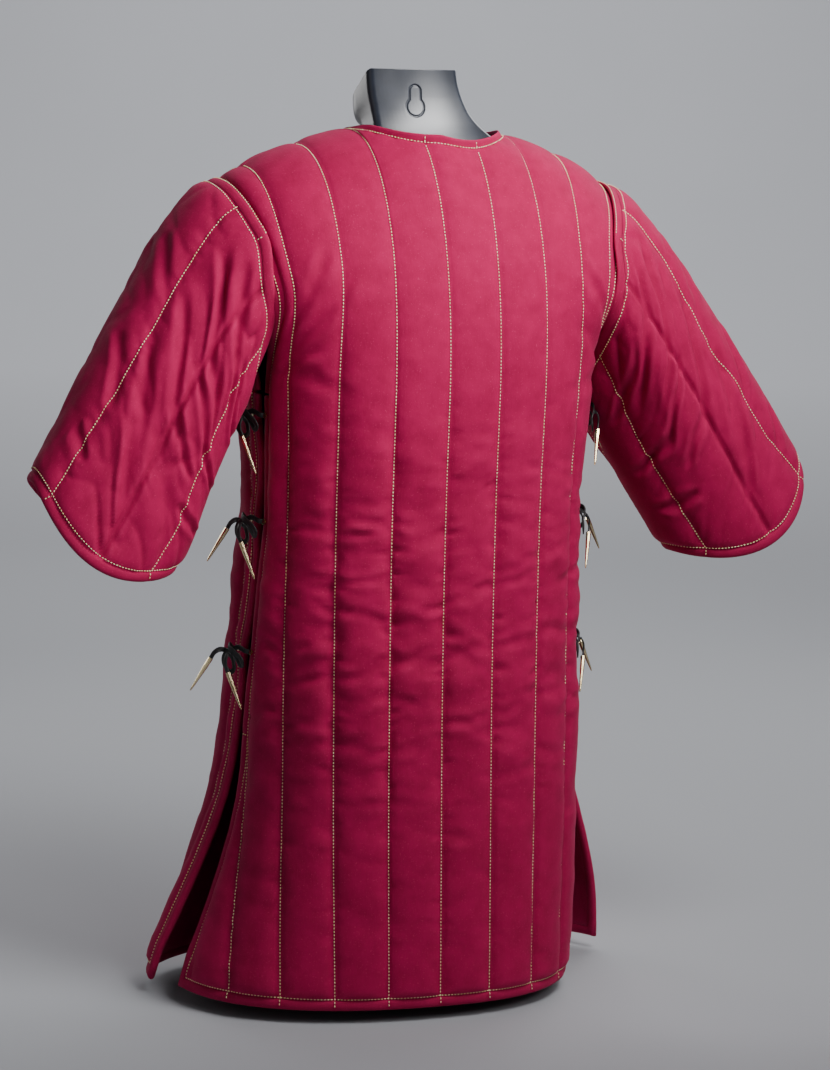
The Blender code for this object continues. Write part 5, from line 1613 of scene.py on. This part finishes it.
def body_rolls(back, front):
    """Rings of every roll on the body, the way each is closed, and the stitches across them."""
    runs = []
    for panel, name in ((back, "back_edge_binding"), (front, "front_edge_binding")):
        down = np.arange(panel.armpit, -1, -1)
        run = joined(joined(panel.edge(down, 0), panel.hem()), reversed_run(panel.edge(down, -1)))
        runs.append((name, run, BINDING_THICKNESS, 0.0, False, panel_ticks(panel)))
    for column, name in ((-1, "left_armhole_binding"), (0, "right_armhole_binding")):
        parts = [panel.edge(np.arange(panel.armpit, len(panel.inner)), column) for panel in (back, front)]
        run = joined(parts[0], reversed_run(parts[1]))
        ticks = np.concatenate([panel_ticks(back), panel_ticks(front)])
        runs.append((name, trimmed_run(run, ARMPIT_GAP), ARMHOLE_ROLL_THICKNESS, 0.0, False, ticks))
    neck = eased_ring(closed_run(joined(back.neckline(), reversed_run(front.neckline()))))
    neck_turn = NECK_TURN_FRONT + (NECK_TURN_UP - NECK_TURN_FRONT) * smoothstep(neck[0][:, 1] / 0.05)
    ticks = np.concatenate([panel_ticks(back), panel_ticks(front)])
    runs.append(("neck_binding", neck, NECK_ROLL_THICKNESS, neck_turn, True, ticks))
    rolls = {}
    crossing = []
    for name, run, thickness, turn_up, closed, ticks in runs:
        wall = NECK_ROLL_WALL if name == "neck_binding" else WALL_AT_EDGE
        rings = roll_rings(run, thickness, wall, turn_up, ticks)
        rolls[name] = (rings, closed)
        crossing += tick_lines(rings, run[0], ticks)
    return rolls, crossing


def add_panel(panel, name, cotton_cloth, gold, crossing):
    points, quads = shell(panel.inner, panel.outer)
    piece = add_piece(name + "_cloth", points, quads, cotton_cloth, cloth_uv(panel))
    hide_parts(name)
    thread_points, thread_quads = stitches(panel_stitches(panel) + crossing)
    sewn = add_piece(name + "_stitching", thread_points, thread_quads, gold)
    return piece, sewn


def add_body(cotton_cloth, edge_cloth, gold):
    panels = {"back": Panel(1.0, BACK_DENSITY), "front": Panel(-1.0, FRONT_DENSITY)}
    rolls, crossing = body_rolls(panels["back"], panels["front"])
    made = {}
    for name, (rings, closed) in rolls.items():
        made[name] = add_roll(name + "_roll", rings, edge_cloth, closed)
        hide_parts(name)
    for name, panel in panels.items():
        extra = crossing if name == "back" else []
        piece, sewn = add_panel(panel, name + "_panel", cotton_cloth, gold, extra)
        with_pieces = [sewn, made[name + "_edge_binding"]]
        if name == "back":
            with_pieces += [made[key] for key in made if "edge" not in key]


def add_sleeve(sleeve, cotton_cloth, edge_cloth, gold):
    points, quads = tube_shell(sleeve.inner, sleeve.outer)
    one = np.stack([np.radians(sleeve.angles) * SLEEVE_MAP_RADIUS, sleeve.down], axis=-1).reshape(-1, 2)
    name = sleeve.name + "_sleeve"
    piece = add_piece(name + "_cloth", points, quads, cotton_cloth,
                      np.concatenate([one, one]))
    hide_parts(name)
    rings = {}
    for row, part, thickness, wall in ((0, "head", HEAD_BINDING_THICKNESS, HEAD_WALL),
                                       (-1, "cuff", CUFF_ROLL_THICKNESS, WALL_AT_EDGE)):
        ticks = sleeve_ticks(sleeve) if part == "cuff" else None
        rings[part] = roll_rings(sleeve.end_run(row), thickness, wall, 0.0, ticks)
        roll = add_roll(f"{name}_{part}_roll", rings[part], edge_cloth, True)
        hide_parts(f"{name}_{part}_binding")
    thread_points, thread_quads = stitches(sleeve_stitches(sleeve, rings["head"], rings["cuff"]))
    sewn = add_piece(name + "_stitching", thread_points, thread_quads, gold)


def main():
    add_camera()
    coarse = {side: Panel(side, COARSE) for side in (1.0, -1.0)}
    add_ties(coarse[1.0], coarse[-1.0], leather("tie_leather"))
    metal = brass("tie_brass")
    recolour(metal, *[item.name for item in bpy.data.objects if item.name.endswith(("_aglet", "_eyelet"))])
    cloth = cotton("body_cotton", CLOTH_DARK, CLOTH_LIGHT, CLOTH_WORN)
    edge_cloth = cotton("edge_cotton", EDGE_DARK, EDGE_LIGHT, CLOTH_WORN)
    gold = thread("gold_thread")
    add_body(cloth, edge_cloth, gold)
    for left in (True, False):
        add_sleeve(Sleeve(coarse[1.0], coarse[-1.0], left), cloth, edge_cloth, gold)
    add_form(plastic("form_plastic"))
    add_studio()


main()
